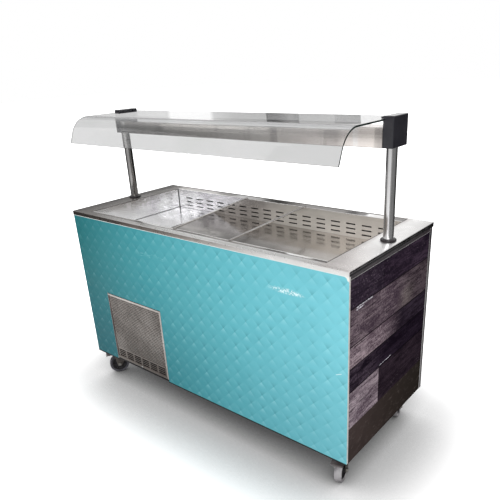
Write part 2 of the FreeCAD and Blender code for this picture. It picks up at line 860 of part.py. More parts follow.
def end_cap(side, label):
    """Black moulding with a socket for the post, a slot for the glass and a small clip over it."""
    inner, outer = cap_inner * side, (cap_inner + sizes.cap_width) * side
    low_x, high_x = (inner, outer) if side == RIGHT else (outer, inner)
    body = new_body(f"{label}_body")
    block = pad(body, new_sketch(body, "XZ_Plane", [rectangle(low_x, cap_bottom, high_x, cap_top)]),
                cap_rear - cap_front)
    document.recompute()
    edges = [f"Edge{index + 1}" for index, edge in enumerate(block.Shape.Edges)
             if abs(edge.CenterOfMass.x - outer.value) < 1 or abs(edge.CenterOfMass.z - cap_top.value) < 1]
    rounding = body.newObject("PartDesign::Fillet", f"{label}_rounding")
    rounding.Base = (block, edges)
    bind(rounding, Radius=sizes.cap_rounding)
    body.Tip = rounding

    socket = [(post_x * side, post_y - cap_rear, sizes.post_radius + sizes.running_gap)]
    drawing = new_sketch(body, "XY_Plane", circles=socket, lift=cap_bottom)
    pocket(body, drawing, sizes.post_socket, backwards=True)

    slack = sizes.assembly_gap
    slot_end = inner + (sizes.glass_entry + slack) * side
    ends = (inner - slack, slot_end) if side == RIGHT else (slot_end, inner + slack)
    mouth = rectangle(ends[0], glass_bottom - slack / 2, ends[1], glass_top + slack / 2)
    drawing = new_sketch(body, "XZ_Plane", [mouth], lift=cap_rear - cap_front)
    pocket(body, drawing, cap_rear - cap_front - sizes.glass_rear_margin + slack)

    clip_low = glass_top + slack
    clip_far, clip_near = inner - sizes.clip_width * side, inner + slack * side
    ends = (clip_far, clip_near) if side == RIGHT else (clip_near, clip_far)
    clip = rectangle(ends[0], clip_low, ends[1], cap_top - sizes.cap_rounding)
    drawing = new_sketch(body, "XZ_Plane", [clip], lift=cap_rear - cap_front - sizes.cap_rounding)
    pad(body, drawing, sizes.clip_length, backwards=True)
    node(place(body, y=cap_rear), label)


def gantry_beam():
    """Stainless channel between the caps, open below, with a lip along each lower edge."""
    sheet = sizes.beam_sheet
    lip = sizes.beam_lip
    high = sizes.beam_height
    width = sizes.cap_front + sizes.cap_rear
    profile = [
        (0, 0), (0, high), (width, high), (width, 0), (width - lip, 0), (width - lip, sheet),
        (width - sheet, sheet), (width - sheet, high - sheet), (sheet, high - sheet), (sheet, sheet),
        (lip, sheet), (lip, 0),
    ]
    beam = slab("beam_channel", "YZ_Plane", profile, cap_inner * 2, both_ways=True)
    node(place(beam, y=cap_front, z=cap_bottom), "gantry_beam")


def lamp_diffuser():
    """Opal strip that closes the beam from below and lies on its lips."""
    gap = sizes.assembly_gap
    low = cap_bottom + sizes.beam_sheet
    inner = sizes.beam_sheet + gap
    strip = box(
        "diffuser_strip",
        (-cap_inner + gap, cap_front + inner, low),
        (cap_inner - gap, cap_rear - inner, low + sizes.diffuser_thickness),
    )
    node(strip, "lamp_diffuser")


def sneeze_glass():
    """One bent sheet: flat over the beam, then curved down towards the customer."""
    body = new_body("bent_glass")
    outer = sizes.glass_bend_radius
    inner = outer - sizes.glass_thickness
    turn = sizes.glass_bend_angle
    rear = cap_rear - sizes.glass_rear_margin
    bend_y = -sizes.glass_flat_front
    bend_z = glass_top - outer

    def on_bend(radius):
        return bend_y - radius * sine(turn), bend_z + radius * cosine(turn)

    def below(point):
        return point[0] - sizes.glass_drop * cosine(turn), point[1] - sizes.glass_drop * sine(turn)

    drawing = new_sketch(body, "YZ_Plane")
    bend = Vector(bend_y.value, bend_z.value, 0)
    quarter = math.radians(90)
    sweep = math.radians(turn.value)

    def add_line(start, end):
        first, last = (Vector(point[0].value, point[1].value, 0) for point in (start, end))
        return drawing.addGeometry(Part.LineSegment(first, last), False)

    def add_arc(radius):
        circle = Part.Circle(bend, Vector(0, 0, 1), radius.value)
        return drawing.addGeometry(Part.ArcOfCircle(circle, quarter, quarter + sweep), False)

    outer_end, inner_end = on_bend(outer), on_bend(inner)
    outer_low, inner_low = below(outer_end), below(inner_end)
    flat_outer = add_line((rear, glass_top), (bend_y, glass_top))
    arc_outer = add_arc(outer)
    drop_outer = add_line(outer_end, outer_low)
    lower_edge = add_line(outer_low, inner_low)
    drop_inner = add_line(inner_low, inner_end)
    arc_inner = add_arc(inner)
    flat_inner = add_line((bend_y, glass_bottom), (rear, glass_bottom))
    rear_edge = add_line((rear, glass_bottom), (rear, glass_top))
    ends = [
        (flat_outer, 2, arc_outer, 1), (arc_outer, 2, drop_outer, 1), (drop_outer, 2, lower_edge, 1),
        (lower_edge, 2, drop_inner, 1), (drop_inner, 2, arc_inner, 2), (arc_inner, 1, flat_inner, 1),
        (flat_inner, 2, rear_edge, 1), (rear_edge, 2, flat_outer, 1),
    ]
    for end in ends:
        drawing.addConstraint(Sketcher.Constraint("Coincident", *end))
    fix(drawing, "DistanceX", (arc_outer, 3), bend_y)
    fix(drawing, "DistanceY", (arc_outer, 3), bend_z)
    drawing.addConstraint(Sketcher.Constraint("Coincident", arc_outer, 3, arc_inner, 3))
    fix(drawing, "Radius", (arc_outer,), outer)
    drawing.addConstraint(Sketcher.Constraint("Vertical", arc_outer, 3, arc_outer, 1))
    fix(drawing, "DistanceX", (drop_outer, 1), outer_end[0])
    fix(drawing, "DistanceX", (drop_inner, 2), inner_end[0])
    fixed_points = [
        (flat_outer, rear, glass_top), (lower_edge, *outer_low), (drop_inner, *inner_low),
        (flat_inner, bend_y, glass_bottom), (rear_edge, rear, glass_bottom),
    ]
    for line, x, y in fixed_points:
        fix(drawing, "DistanceX", (line, 1), x)
        fix(drawing, "DistanceY", (line, 1), y)
    pad(body, drawing, (cap_inner + sizes.glass_entry) * 2, both_ways=True)
    node(body, "sneeze_glass")


# ---------------------------------------------------------------- castors


def castor_frame(name):
    """The spot of one castor: its swivel axis, its trailing angle and its wheel's middle."""
    side_x, side_y, degrees = CASTORS[name]
    heading = as_size(degrees)
    x, y = castor_x * side_x, castor_y * side_y
    wheel_x = x + sizes.castor_trail * cosine(heading)
    wheel_y = y + sizes.castor_trail * sine(heading)
    return x, y, heading, wheel_x, wheel_y


def castor_plates():
    """Four top plates, each with its swivel race below."""
    plates = []
    span_x, span_y = sizes.castor_bolt_span_x / 2, sizes.castor_bolt_span_y / 2
    radius = sizes.castor_bolt_radius + sizes.running_gap
    sheet = sizes.castor_plate_sheet
    for name in CASTORS:
        x, y, *_ = castor_frame(name)
        body = new_body(f"castor_plate_{name}")
        half_x, half_y = sizes.castor_plate_length / 2, sizes.castor_plate_width / 2
        outline = rectangle(-half_x, -half_y, half_x, half_y)
        pad(body, new_sketch(body, "XY_Plane", [outline]), sheet, backwards=True)
        holes = [(span_x * a, span_y * b, radius) for a in (LEFT, RIGHT) for b in (FRONT, REAR)]
        pocket(body, new_sketch(body, "XY_Plane", circles=holes))
        race = [(0, 0, sizes.race_radius - sizes.castor_bolt_radius * 2)]
        pad(body, new_sketch(body, "XY_Plane", circles=race), sheet + sizes.race_height, backwards=True)
        bore = [(0, 0, sizes.kingpin_radius + sizes.running_gap)]
        pocket(body, new_sketch(body, "XY_Plane", circles=bore))
        plates.append(place(body, x, y, panel_bottom))
    node(group("castor_plates", plates), "castor_plates")


def castor_bolts():
    """Sixteen bolts with their nuts, up through the plates and the tray."""
    head = sizes.castor_bolt_head
    radius = sizes.castor_bolt_radius
    low = panel_bottom - sizes.castor_plate_sheet
    bolts = []
    for index, (x, y) in enumerate(castor_bolt_places()):
        pieces = [
            hexagon(f"castor_bolt_head_{index}", radius * 1.6, head, (x, y, low - head)),
            rod(f"castor_bolt_shank_{index}", radius, sizes.castor_plate_sheet + sizes.tray_sheet + head,
                (x, y, low)),
            hexagon(f"castor_bolt_nut_{index}", radius * 1.6, head, (x, y, tray_top)),
        ]
        bolts.append(fuse(f"castor_bolt_{index}", pieces))
    node(group("bolts", bolts), "castor_bolts")


def castor_fork(name, braked):
    """Folded fork with its kingpin; on a braked castor it also has the pedal's pivot holes."""
    x, y, heading, *_ = castor_frame(name)
    sheet = sizes.fork_sheet
    crown = -(sizes.castor_plate_sheet + sizes.race_height + sizes.assembly_gap)
    axle = sizes.wheel_radius - panel_bottom
    trail = sizes.castor_trail
    pivot_x, pivot_z = pedal_pivot()
    shoulder = pivot_x + sizes.pedal_pivot_radius * 2
    back = -sizes.kingpin_radius * 4
    lug = sizes.axle_radius * 2
    body = new_body(f"fork_{name}")
    side_view = [
        (back, crown), (shoulder, crown), (shoulder, pivot_z - sizes.pedal_pivot_radius * 2),
        (trail + lug, axle - lug), (trail - lug, axle - lug), (back, crown - lug * 2),
    ]
    half = sizes.fork_half_gap + sheet
    pad(body, new_sketch(body, "XZ_Plane", [side_view]), half * 2, both_ways=True)
    below = rectangle(back - lug, axle - lug * 2, shoulder + lug, crown - sheet)
    pocket(body, new_sketch(body, "XZ_Plane", [below]), sizes.fork_half_gap * 2, both_ways=True)
    holes = [(trail, axle, sizes.axle_radius + sizes.running_gap)]
    if braked:
        holes.append((pivot_x, pivot_z, sizes.pedal_pivot_radius + sizes.running_gap))
    pocket(body, new_sketch(body, "XZ_Plane", circles=holes), both_ways=True)
    pin = new_sketch(body, "XY_Plane", circles=[(0, 0, sizes.kingpin_radius)], lift=crown - sheet / 2)
    pad(body, pin, sheet / 2 + sizes.race_height)
    node(place(body, x, y, panel_bottom, turn=heading), f"castor_fork_{name}")


def pedal_pivot():
    """The pedal's pivot in the fork's own side view: above the tyre, behind the axle."""
    crown = -(sizes.castor_plate_sheet + sizes.race_height + sizes.assembly_gap)
    x = sizes.castor_trail + sizes.pedal_pivot_radius * 5
    return x, crown - sizes.fork_sheet - sizes.wheel_radius * 0.36


def castor_wheel(name):
    """Grey tyre on a plastic hub, turned about the axle."""
    _, _, heading, wheel_x, wheel_y = castor_frame(name)
    radius, half = sizes.wheel_radius, sizes.tyre_half_width
    seat = radius - sizes.tyre_depth
    cheek = radius - sizes.tyre_depth / 3
    shoulder = radius - sizes.fitting_gap
    tread = half * 0.6
    rim = half * 0.85
    tyre = [
        (seat, -rim), (cheek, -half), (shoulder, -rim), (radius, -tread),
        (radius, tread), (shoulder, rim), (cheek, half), (seat, rim),
    ]
    bore = sizes.axle_radius + sizes.running_gap
    boss = sizes.axle_radius * 2.4
    web = half * 0.4
    long = sizes.hub_half_length
    rim_inner = seat - sizes.tyre_depth / 3
    hub = [
        (bore, -long), (boss, -long), (boss, -web), (rim_inner, -web), (rim_inner, -rim), (seat, -rim),
        (seat, rim), (rim_inner, rim), (rim_inner, web), (boss, web), (boss, long), (bore, long),
    ]
    for profile, kind in ((tyre, "tyre"), (hub, "hub")):
        body = turned(f"{kind}_{name}", "XY_Plane", "V_Axis", profile)
        node(place(body, wheel_x, wheel_y, radius, turn=heading), f"castor_{kind}_{name}")


def castor_axle(name):
    """Bolt through the fork and the hub, with its nut."""
    _, _, heading, wheel_x, wheel_y = castor_frame(name)
    half = sizes.fork_half_gap + sizes.fork_sheet
    nut = sizes.axle_nut
    radius = sizes.axle_radius
    pieces = [
        hexagon(f"axle_head_{name}", radius * 1.7, nut, (0, -half - nut, 0), "Y"),
        rod(f"axle_shank_{name}", radius, half * 2 + nut, (0, -half, 0), "Y"),
        hexagon(f"axle_nut_{name}", radius * 1.7, nut * 0.9, (0, half, 0), "Y"),
    ]
    bolt = fuse(f"axle_{name}", pieces)
    node(place(bolt, wheel_x, wheel_y, sizes.wheel_radius, turn=heading), f"castor_axle_{name}")


def brake_pedal(name):
    """Foot pedal that pivots between the fork's legs; its tread reaches out behind the tyre."""
    x, y, heading, *_ = castor_frame(name)
    pivot_x, pivot_z = pedal_pivot()
    pin = sizes.pedal_pivot_radius
    inner = sizes.fork_half_gap - sizes.assembly_gap
    sheet = sizes.fork_sheet
    fork_half = sizes.fork_half_gap + sheet
    root = pin * 2.4
    outer = sizes.pedal_half_width
    reach = sizes.pedal_reach
    pieces = [
        rod(f"pedal_pin_{name}", pin, fork_half * 2, (0, -fork_half, 0), "Y"),
        rod(f"pedal_boss_{name}", pin * 1.7, inner * 2, (0, -inner, 0), "Y"),
        box(f"pedal_arm_{name}", (0, -inner, -sheet / 2), (root + sheet, inner, sheet / 2)),
        box(f"pedal_tread_{name}", (root, -outer, -sheet / 2), (reach, outer, sheet / 2)),
        box(f"pedal_lip_{name}", (reach - sheet, -outer, -sheet * 1.5), (reach, outer, sheet / 2)),
    ]
    pedal = fuse(f"pedal_{name}", pieces)
    pedal_x = x + pivot_x * cosine(heading)
    pedal_y = y + pivot_x * sine(heading)
    node(place(pedal, pedal_x, pedal_y, panel_bottom + pivot_z, turn=heading), f"brake_pedal_{name}")


# ---------------------------------------------------------------- refrigeration


def fan_rotor(name, tip, hub, depth, blades, shaft, shaft_length):
    """Hub, shaft and twisted blades about the Y axis; the shaft reaches towards -Y."""
    axis = Vector(0, 1, 0)
    solid = Part.makeCylinder(hub, depth, Vector(0, -depth / 2, 0), axis)
    shaft_end = Vector(0, -depth / 2 - shaft_length, 0)
    solid = solid.fuse(Part.makeCylinder(shaft, shaft_length, shaft_end, axis))
    thick = max(hub * 0.08, 1.2)
    for index in range(blades):
        sections = []
        for radius, pitch in ((hub * 0.7, 50), (tip, 25)):
            lean = math.radians(pitch)
            chord = min(depth / math.sin(lean), 0.8 * 2 * math.pi * radius / blades) / 2
            along = Vector(math.cos(lean), math.sin(lean), 0) * chord
            across = Vector(-math.sin(lean), math.cos(lean), 0) * (thick / 2)
            corners = [along + across, along - across, -along - across, -along + across]
            shifted = [corner + Vector(0, 0, radius) for corner in corners]
            sections.append(Part.makePolygon(shifted + shifted[:1]))
        blade = Part.makeLoft(sections, True, True)
        blade.rotate(Vector(), axis, 360 * index / blades)
        solid = solid.fuse(blade)
    rotor = document.addObject("Part::Feature", name)
    sweep = Part.makeCylinder(tip, depth, Vector(0, -depth / 2, 0), axis)
    room = Part.makeCylinder(hub, depth + 2 * shaft_length, shaft_end, axis)
    rotor.Shape = solid.common(sweep.fuse(room)).removeSplitter()
    return rotor


def motor_with_arms(name, radius, length, bore, reach, arm, seat):
    """Motor can beside a fan, held by two arms that run back to the sheet round the fan."""
    can = rod(f"{name}_can", radius, length, (0, -length, 0), "Y")
    pieces = [can]
    inner, half = radius * 0.9, arm / 2
    arms = (("left", -reach, -inner, -reach), ("right", inner, reach, reach - arm))
    for hand, low_x, high_x, foot_x in arms:
        pieces.append(box(f"{name}_spoke_{hand}", (low_x, -length, -half), (high_x, arm - length, half)))
        pieces.append(box(f"{name}_foot_{hand}", (foot_x, -length, -half), (foot_x + arm, seat, half)))
    whole = fuse(f"{name}_whole", pieces)
    drill = rod(f"{name}_bore", bore, length, (0, -length * 0.6, 0), "Y")
    return cut(f"{name}_motor", whole, [drill])


def evaporator_fans():
    """Two fans in the rear duct panel's apertures, each with its motor in front of it."""
    gap = sizes.fitting_gap
    depth = sizes.fan_depth
    shaft = sizes.running_gap * 50
    plane = rear_wall - depth / 2 - gap
    z = tank_floor + sizes.fan_rise
    motors = []
    for side, hand in ((LEFT, "left"), (RIGHT, "right")):
        x = sizes.fan_spacing * side
        tip = sizes.fan_aperture - sizes.fan_tip_gap * 2
        hub = sizes.fan_motor_radius * 0.8
        rotor = fan_rotor(f"fan_{hand}", tip.value, hub.value, depth.value, 5, shaft.value,
                          sizes.fan_motor_length.value / 3)
        node(place(rotor, x, plane, z), f"evaporator_fan_{hand}")
        motor_y = plane - depth / 2 - gap
        seat = depth + gap * 2
        arm = sizes.well_sheet * 3
        motor = motor_with_arms(f"evaporator_{hand}", sizes.fan_motor_radius, sizes.fan_motor_length,
                                shaft + sizes.running_gap, sizes.fan_aperture + arm, arm, seat)
        motors.append(place(motor, x, motor_y, z))
    node(group("motors", motors), "evaporator_motors")


def evaporator():
    """Finned coil on the tank's floor, under the base plates."""
    half = sizes.evaporator_half_length
    low_y, high_y = -sizes.evaporator_front, sizes.evaporator_rear
    tall = sizes.evaporator_height
    fin = sizes.well_sheet / 2
    pipe = sizes.evaporator_height / 12
    fins = int(2 * half.value // sizes.evaporator_fin_pitch.value)
    pieces = []
    for index in range(fins + 1):
        x = -half + sizes.evaporator_fin_pitch * index
        pieces.append(box(f"fin_{index}", (x, low_y, tank_floor), (x + fin, high_y, tank_floor + tall)))
    for row in range(4):
        y = low_y + (high_y - low_y) * ((row + 0.5) / 4)
        for level in (0.3, 0.7):
            name = f"coil_{row}_{int(level * 10)}"
            start = (-half - pipe, y, tank_floor + tall * level)
            pieces.append(rod(name, pipe, half * 2 + pipe * 2, start, "X"))
    node(fuse("coil", pieces), "evaporator")


def condenser():
    """Finned block on two side plates behind the grille."""
    half = sizes.condenser_length / 2
    low_y = front_inner + sizes.tube_size + sizes.fitting_gap
    high_y = low_y + sizes.condenser_depth
    low_z = tray_top + sizes.tube_size
    high_z = low_z + sizes.condenser_height
    side = sizes.condenser_side
    pieces = [
        box("condenser_side_left", (-half - side, low_y, tray_top), (-half, high_y, high_z)),
        box("condenser_side_right", (half, low_y, tray_top), (half + side, high_y, high_z)),
    ]
    fins = int(sizes.condenser_length.value // sizes.condenser_fin_pitch.value)
    fin = sizes.panel_sheet
    for index in range(1, fins):
        x = -half + sizes.condenser_fin_pitch * index
        pieces.append(box(f"condenser_fin_{index}", (x, low_y, low_z), (x + fin, high_y, high_z)))
    pipe = sizes.condenser_depth / 8
    for row in range(6):
        for across in (0.3, 0.7):
            y = low_y + sizes.condenser_depth * across
            z = low_z + sizes.condenser_height * ((row + 0.5) / 6)
            name = f"condenser_pipe_{row}_{int(across * 10)}"
            pieces.append(rod(name, pipe, half * 2 + side * 2, (-half - side, y, z), "X"))
    node(place(fuse("condenser_block", pieces), x=grille_middle), "condenser")


def condenser_fan():
    """Shroud behind the condenser with its motor, and the fan that turns in it."""
    gap = sizes.fitting_gap
    half = sizes.condenser_length / 2 + sizes.condenser_side
    sheet = sizes.panel_sheet
    low_y = front_inner + sizes.tube_size + gap + sizes.condenser_depth
    middle_z = tray_top + sizes.tube_size + sizes.condenser_height / 2
    depth = sizes.condenser_fan_depth
    aperture = sizes.condenser_fan_aperture
    tray_drop = middle_z - tray_top
    plate = slab("shroud_plate", "XZ_Plane", rectangle(-half, -tray_drop, half, sizes.condenser_height / 2),
                 sheet, circles=[(0, 0, aperture)])
    place(plate, y=sheet)
    arm = sheet * 5
    shaft = sizes.running_gap * 100
    fan_plane = sheet + depth / 2 + gap
    length = sizes.condenser_motor_length
    back = fan_plane + depth / 2 + gap
    can = rod("shroud_can", sizes.condenser_motor_radius, length, (0, back, 0), "Y")
    pieces = [plate, can]
    reach = aperture + arm
    spans = {
        "left": ((-reach, -arm / 2), (-sizes.condenser_motor_radius * 0.9, arm / 2)),
        "right": ((sizes.condenser_motor_radius * 0.9, -arm / 2), (reach, arm / 2)),
        "low": ((-arm / 2, -reach), (arm / 2, -sizes.condenser_motor_radius * 0.9)),
        "high": ((-arm / 2, sizes.condenser_motor_radius * 0.9), (arm / 2, reach)),
    }
    for hand, ((x0, z0), (x1, z1)) in spans.items():
        pieces.append(box(f"shroud_spoke_{hand}", (x0, back, z0), (x1, back + sheet * 2, z1)))
    feet = {
        "left": (-reach, -arm / 2), "right": (reach - arm, -arm / 2),
        "low": (-arm / 2, -reach), "high": (-arm / 2, reach - arm),
    }
    for hand, (x0, z0) in feet.items():
        pieces.append(box(f"shroud_foot_{hand}", (x0, 0, z0), (x0 + arm, back + sheet * 2, z0 + arm)))
    whole = fuse("shroud_whole", pieces)
    drill = rod("shroud_bore", shaft + sizes.running_gap, length * 0.6, (0, back - gap, 0), "Y")
    shroud = cut("shroud", whole, [drill])
    node(place(shroud, grille_middle, low_y, middle_z), "fan_shroud")

    tip = aperture - sizes.fan_tip_gap
    hub = sizes.condenser_motor_radius * 0.9
    rotor = fan_rotor("condenser_rotor", tip.value, hub.value, depth.value, 5, shaft.value,
                      length.value * 0.4)
    rotor.Placement = FreeCAD.Placement(Vector(), Rotation(Vector(0, 0, 1), 180))
    node(place(rotor, grille_middle, low_y + fan_plane, middle_z), "condenser_fan")


def compressor():
    """Hermetic pot on a foot plate, behind the condenser fan."""
    radius = sizes.compressor_radius
    tall = sizes.compressor_height
    foot = radius * 1.15
    seam = radius * 1.05
    thin = sizes.tray_sheet * 2
    profile = [
        (0, 0), (foot, 0), (foot, thin), (radius * 0.8, thin), (radius * 0.95, tall * 0.12),
        (radius, tall * 0.3), (radius, tall * 0.45), (seam, tall * 0.45), (seam, tall * 0.5),
        (radius, tall * 0.5), (radius, tall * 0.75), (radius * 0.85, tall * 0.92),
        (radius * 0.5, tall), (0, tall),
    ]
    pot = turned("pot", "XZ_Plane", "V_Axis", profile)
    node(place(pot, grille_middle, sizes.compressor_place, tray_top), "compressor")


# ---------------------------------------------------------------- controls


def control_fascia():
    """Black plate on the back with openings for the thermostat and the switch."""
    half_x, half_z = sizes.fascia_length / 2, sizes.fascia_height / 2
    gap = sizes.assembly_gap
    z = panel_bottom + sizes.fascia_rise
    thermostat_x, switch_x = control_places()
    half_t, tall_t = sizes.thermostat_length / 2 + gap, sizes.thermostat_height / 2 + gap
    half_s, tall_s = sizes.switch_length / 2 + gap, sizes.switch_height / 2 + gap * 3
    outline = rectangle(grille_middle - half_x, z - half_z, grille_middle + half_x, z + half_z)
    holes = [
        rectangle(thermostat_x - half_t, z - tall_t, thermostat_x + half_t, z + tall_t),
        rectangle(switch_x - half_s, z - tall_s, switch_x + half_s, z + tall_s),
    ]
    plate = slab("fascia", "XZ_Plane", outline, sizes.fascia_sheet, holes=holes)
    place(plate, y=sizes.fascia_sheet)

    ear = sizes.fitting_gap * 2
    wall = half_s
    low_z, high_z = z - sizes.switch_height * 0.3, z + sizes.switch_height * 0.3
    depth = rocker_depth() * 1.2
    pieces = [plate]
    for side, hand in ((LEFT, "left"), (RIGHT, "right")):
        low_x = switch_x + wall if side == RIGHT else switch_x - wall - ear
        pieces.append(box(f"switch_ear_{hand}", (low_x, -depth, low_z), (low_x + ear, 0, high_z)))
    drill = rod("switch_drill", sizes.switch_pin_radius + sizes.running_gap, (wall + ear) * 2,
                (switch_x - wall - ear, switch_pin_y(), z), "X")
    whole = cut("fascia_whole", fuse("fascia_with_ears", pieces), [drill])
    node(place(whole, y=rear_face), "control_fascia")


def rocker_depth():
    """How far the rocker reaches behind the fascia's face."""
    return sizes.switch_height * 0.4


def switch_pin_y():
    """Where the rocker's pin lies, behind the back panel's outer face."""
    return sizes.fascia_sheet - rocker_depth() * 0.5


def thermostat():
    """Digital controller: body through the fascia, narrow bezel in front."""
    x, _ = control_places()
    z = panel_bottom + sizes.fascia_rise
    half_x, half_z = sizes.thermostat_length / 2, sizes.thermostat_height / 2
    front = rear_face + sizes.fascia_sheet
    lip = sizes.thermostat_bezel
    back = front - sizes.thermostat_depth
    wide, tall = half_x + lip, half_z + lip
    pieces = [
        box("thermostat_case", (x - half_x, back, z - half_z), (x + half_x, front, z + half_z)),
        box("thermostat_rim", (x - wide, front, z - tall), (x + wide, front + lip, z + tall)),
    ]
    node(fuse("thermostat_body", pieces), "thermostat")


def power_switch():
    """Rocker that tips about a pin along X, held by two ears behind the fascia; it rests switched off."""
    _, x = control_places()
    z = panel_bottom + sizes.fascia_rise
    half_x, half_z = sizes.switch_length / 2, sizes.switch_height / 2
    pin_y = switch_pin_y()
    back = sizes.fascia_sheet - rocker_depth() - pin_y
    front = sizes.switch_proud - pin_y
    profile = [
        (back, -half_z * 0.5), (-pin_y, -half_z), (front, -half_z), (front - sizes.switch_proud * 0.4, 0),
        (front, half_z), (-pin_y, half_z), (back, half_z * 0.5),
    ]
    rocker = slab("rocker_block", "YZ_Plane", profile, half_x * 2, both_ways=True)
    reach = half_x + sizes.assembly_gap + sizes.fitting_gap * 2
    pin = rod("rocker_pin", sizes.switch_pin_radius, reach * 2, (-reach, 0, 0), "X")
    whole = fuse("rocker", [rocker, pin])
    place(whole, x, rear_face + pin_y, z, turn=sizes.switch_tilt, about=Vector(1, 0, 0))
    node(whole, "power_switch")


def mains_gland():
    """Gland through the tray where the mains lead would enter from below."""
    radius, length = sizes.gland_radius, sizes.gland_length
    neck = radius * 0.6
    bore = radius * 0.35
    tail = sizes.tray_sheet + radius * 0.4
    profile = [
        (bore, -length), (radius * 0.7, -length), (radius, -length * 0.6), (radius, 0),
        (neck, 0), (neck, tail), (bore, tail),
    ]
    gland = turned("gland", "XZ_Plane", "V_Axis", profile)
    node(place(gland, gland_x, gland_y, panel_bottom), "mains_gland")


gland_x = grille_high_x
gland_y = rear_inner - sizes.tube_size * 2


# ---------------------------------------------------------------- build and write


def build():
    worktop()
    well_tank()
    well_insulation()
    air_duct(REAR, "air_duct_rear")
    air_duct(FRONT, "air_duct_front")
    plate_bearers()
    base_plate(LEFT, "base_plate_left")
    base_plate(RIGHT, "base_plate_right")
    pan_support_bar("pan_support_bar_left", sizes.bar_left_place, sizes.bar_left_skew)
    pan_support_bar("pan_support_bar_right", sizes.bar_right_place, sizes.bar_right_skew)
    front_panel()
    end_panels()
    rear_panel()
    chassis_frame()
    base_tray()
    grille_frame()
    grille_panel()
    grille_screw()
    for side, hand in ((LEFT, "left"), (RIGHT, "right")):
        gantry_post(side, f"gantry_post_{hand}")
        end_cap(side, f"end_cap_{hand}")
    post_collars()
    gantry_beam()
    lamp_diffuser()
    sneeze_glass()
    castor_plates()
    castor_bolts()
    for name in CASTORS:
        braked = name.startswith("front")
        castor_fork(name, braked)
        castor_wheel(name)
        castor_axle(name)
        if braked:
            brake_pedal(name)
    evaporator()
    evaporator_fans()
    condenser()
    condenser_fan()
    compressor()
    control_fascia()
    thermostat()
    power_switch()
    mains_gland()


def write():
    document.recompute()
    for thing in document.Objects:
        if {"Invalid", "Error"} & set(thing.State):
            raise RuntimeError(f"{thing.Label} failed: {thing.State}")
    for thing in nodes:
        if thing.Shape.isNull() or not thing.Shape.isValid():
            raise RuntimeError(f"{thing.Label} has no valid shape")
    os.makedirs("parts", exist_ok=True)
    for thing in nodes:
        thing.Shape.exportStep(f"parts/{thing.Label}.step")
        print(f"{thing.Label}: {len(thing.Shape.Solids)} solids, {thing.Shape.Volume / 1000:.1f} cm3")
    print(f"{len(nodes)} nodes")


build()
write()
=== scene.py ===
import math

import bmesh
import bpy
from mathutils import Matrix, Vector

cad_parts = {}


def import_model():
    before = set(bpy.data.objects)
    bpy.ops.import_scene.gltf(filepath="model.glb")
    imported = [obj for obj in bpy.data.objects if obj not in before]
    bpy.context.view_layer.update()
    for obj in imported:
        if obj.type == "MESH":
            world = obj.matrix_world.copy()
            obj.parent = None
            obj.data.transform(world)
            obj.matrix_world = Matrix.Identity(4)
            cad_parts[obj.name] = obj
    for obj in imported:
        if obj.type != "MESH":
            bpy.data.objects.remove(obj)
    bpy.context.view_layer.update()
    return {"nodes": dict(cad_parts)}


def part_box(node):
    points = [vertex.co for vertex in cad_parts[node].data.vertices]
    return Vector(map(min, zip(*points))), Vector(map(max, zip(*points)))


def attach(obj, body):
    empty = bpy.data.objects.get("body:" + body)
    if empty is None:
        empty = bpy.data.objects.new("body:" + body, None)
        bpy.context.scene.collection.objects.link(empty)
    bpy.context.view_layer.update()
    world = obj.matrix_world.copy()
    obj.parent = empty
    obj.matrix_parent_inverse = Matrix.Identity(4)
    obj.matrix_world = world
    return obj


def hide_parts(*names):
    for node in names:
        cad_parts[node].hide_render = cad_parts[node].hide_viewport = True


# The looks of the mobile salad bar: X along the counter, -Y towards the customer, +Z up.
# Shapes are written in millimetres, materials, lights and the camera in metres.

MM = 0.001
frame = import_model()
nodes = frame["nodes"]
scene = bpy.context.scene
looks = {}  # every material by its name


# ---------------------------------------------------------------- node materials


def tone(red, green, blue):
    """A colour written as 0-255 screen values, turned into the linear values that shaders use."""
    def linear(value):
        value = value / 255
        return value / 12.92 if value <= 0.04045 else ((value + 0.055) / 1.055) ** 2.4
    return (linear(red), linear(green), linear(blue), 1.0)


def linear_colour(colour):
    """A colour for a socket: from a linear grey, from three screen values, or linear already when it has four."""
    if isinstance(colour, (int, float)):
        return (colour, colour, colour, 1)
    return tone(*colour) if len(colour) == 3 else colour


class Wire:
    """An output of a node. Sums, products and the like of wires and numbers each add a math node."""

    def __init__(self, shader, socket):
        self.shader, self.socket = shader, socket

    def math(self, operation, other=0.0):
        return self.shader.math(operation, self, other)

    def __add__(self, other):
        return self.math("ADD", other)

    def __sub__(self, other):
        return self.math("SUBTRACT", other)

    def __rsub__(self, other):
        return self.shader.math("SUBTRACT", other, self)

    def __mul__(self, other):
        return self.math("MULTIPLY", other)

    def __rmul__(self, other):
        return self.shader.math("MULTIPLY", other, self)

    def __truediv__(self, other):
        return self.math("DIVIDE", other)

    def __pow__(self, other):
        return self.math("POWER", other)

    def __abs__(self):
        return self.math("ABSOLUTE")

    def larger(self, other):
        return self.math("MAXIMUM", other)

    def span(self, low, high, to_low=0.0, to_high=1.0, smooth=True):
        """Turns low..high into to_low..to_high, held at both ends."""
        made = self.shader.add("ShaderNodeMapRange", interpolation_type="SMOOTHSTEP" if smooth else "LINEAR")
        return self.shader.fill(made, self, low, high, to_low, to_high)

    def ramp(self, *stops):
        """A colour ramp; each stop is a place and a colour."""
        made = self.shader.add("ShaderNodeValToRGB")
        bar = made.color_ramp
        bar.elements.remove(bar.elements[1])
        for index, (place, colour) in enumerate(stops):
            element = bar.elements[0] if index == 0 else bar.elements.new(place)
            element.position = place
            element.color = linear_colour(colour)
        return self.shader.fill(made, self)


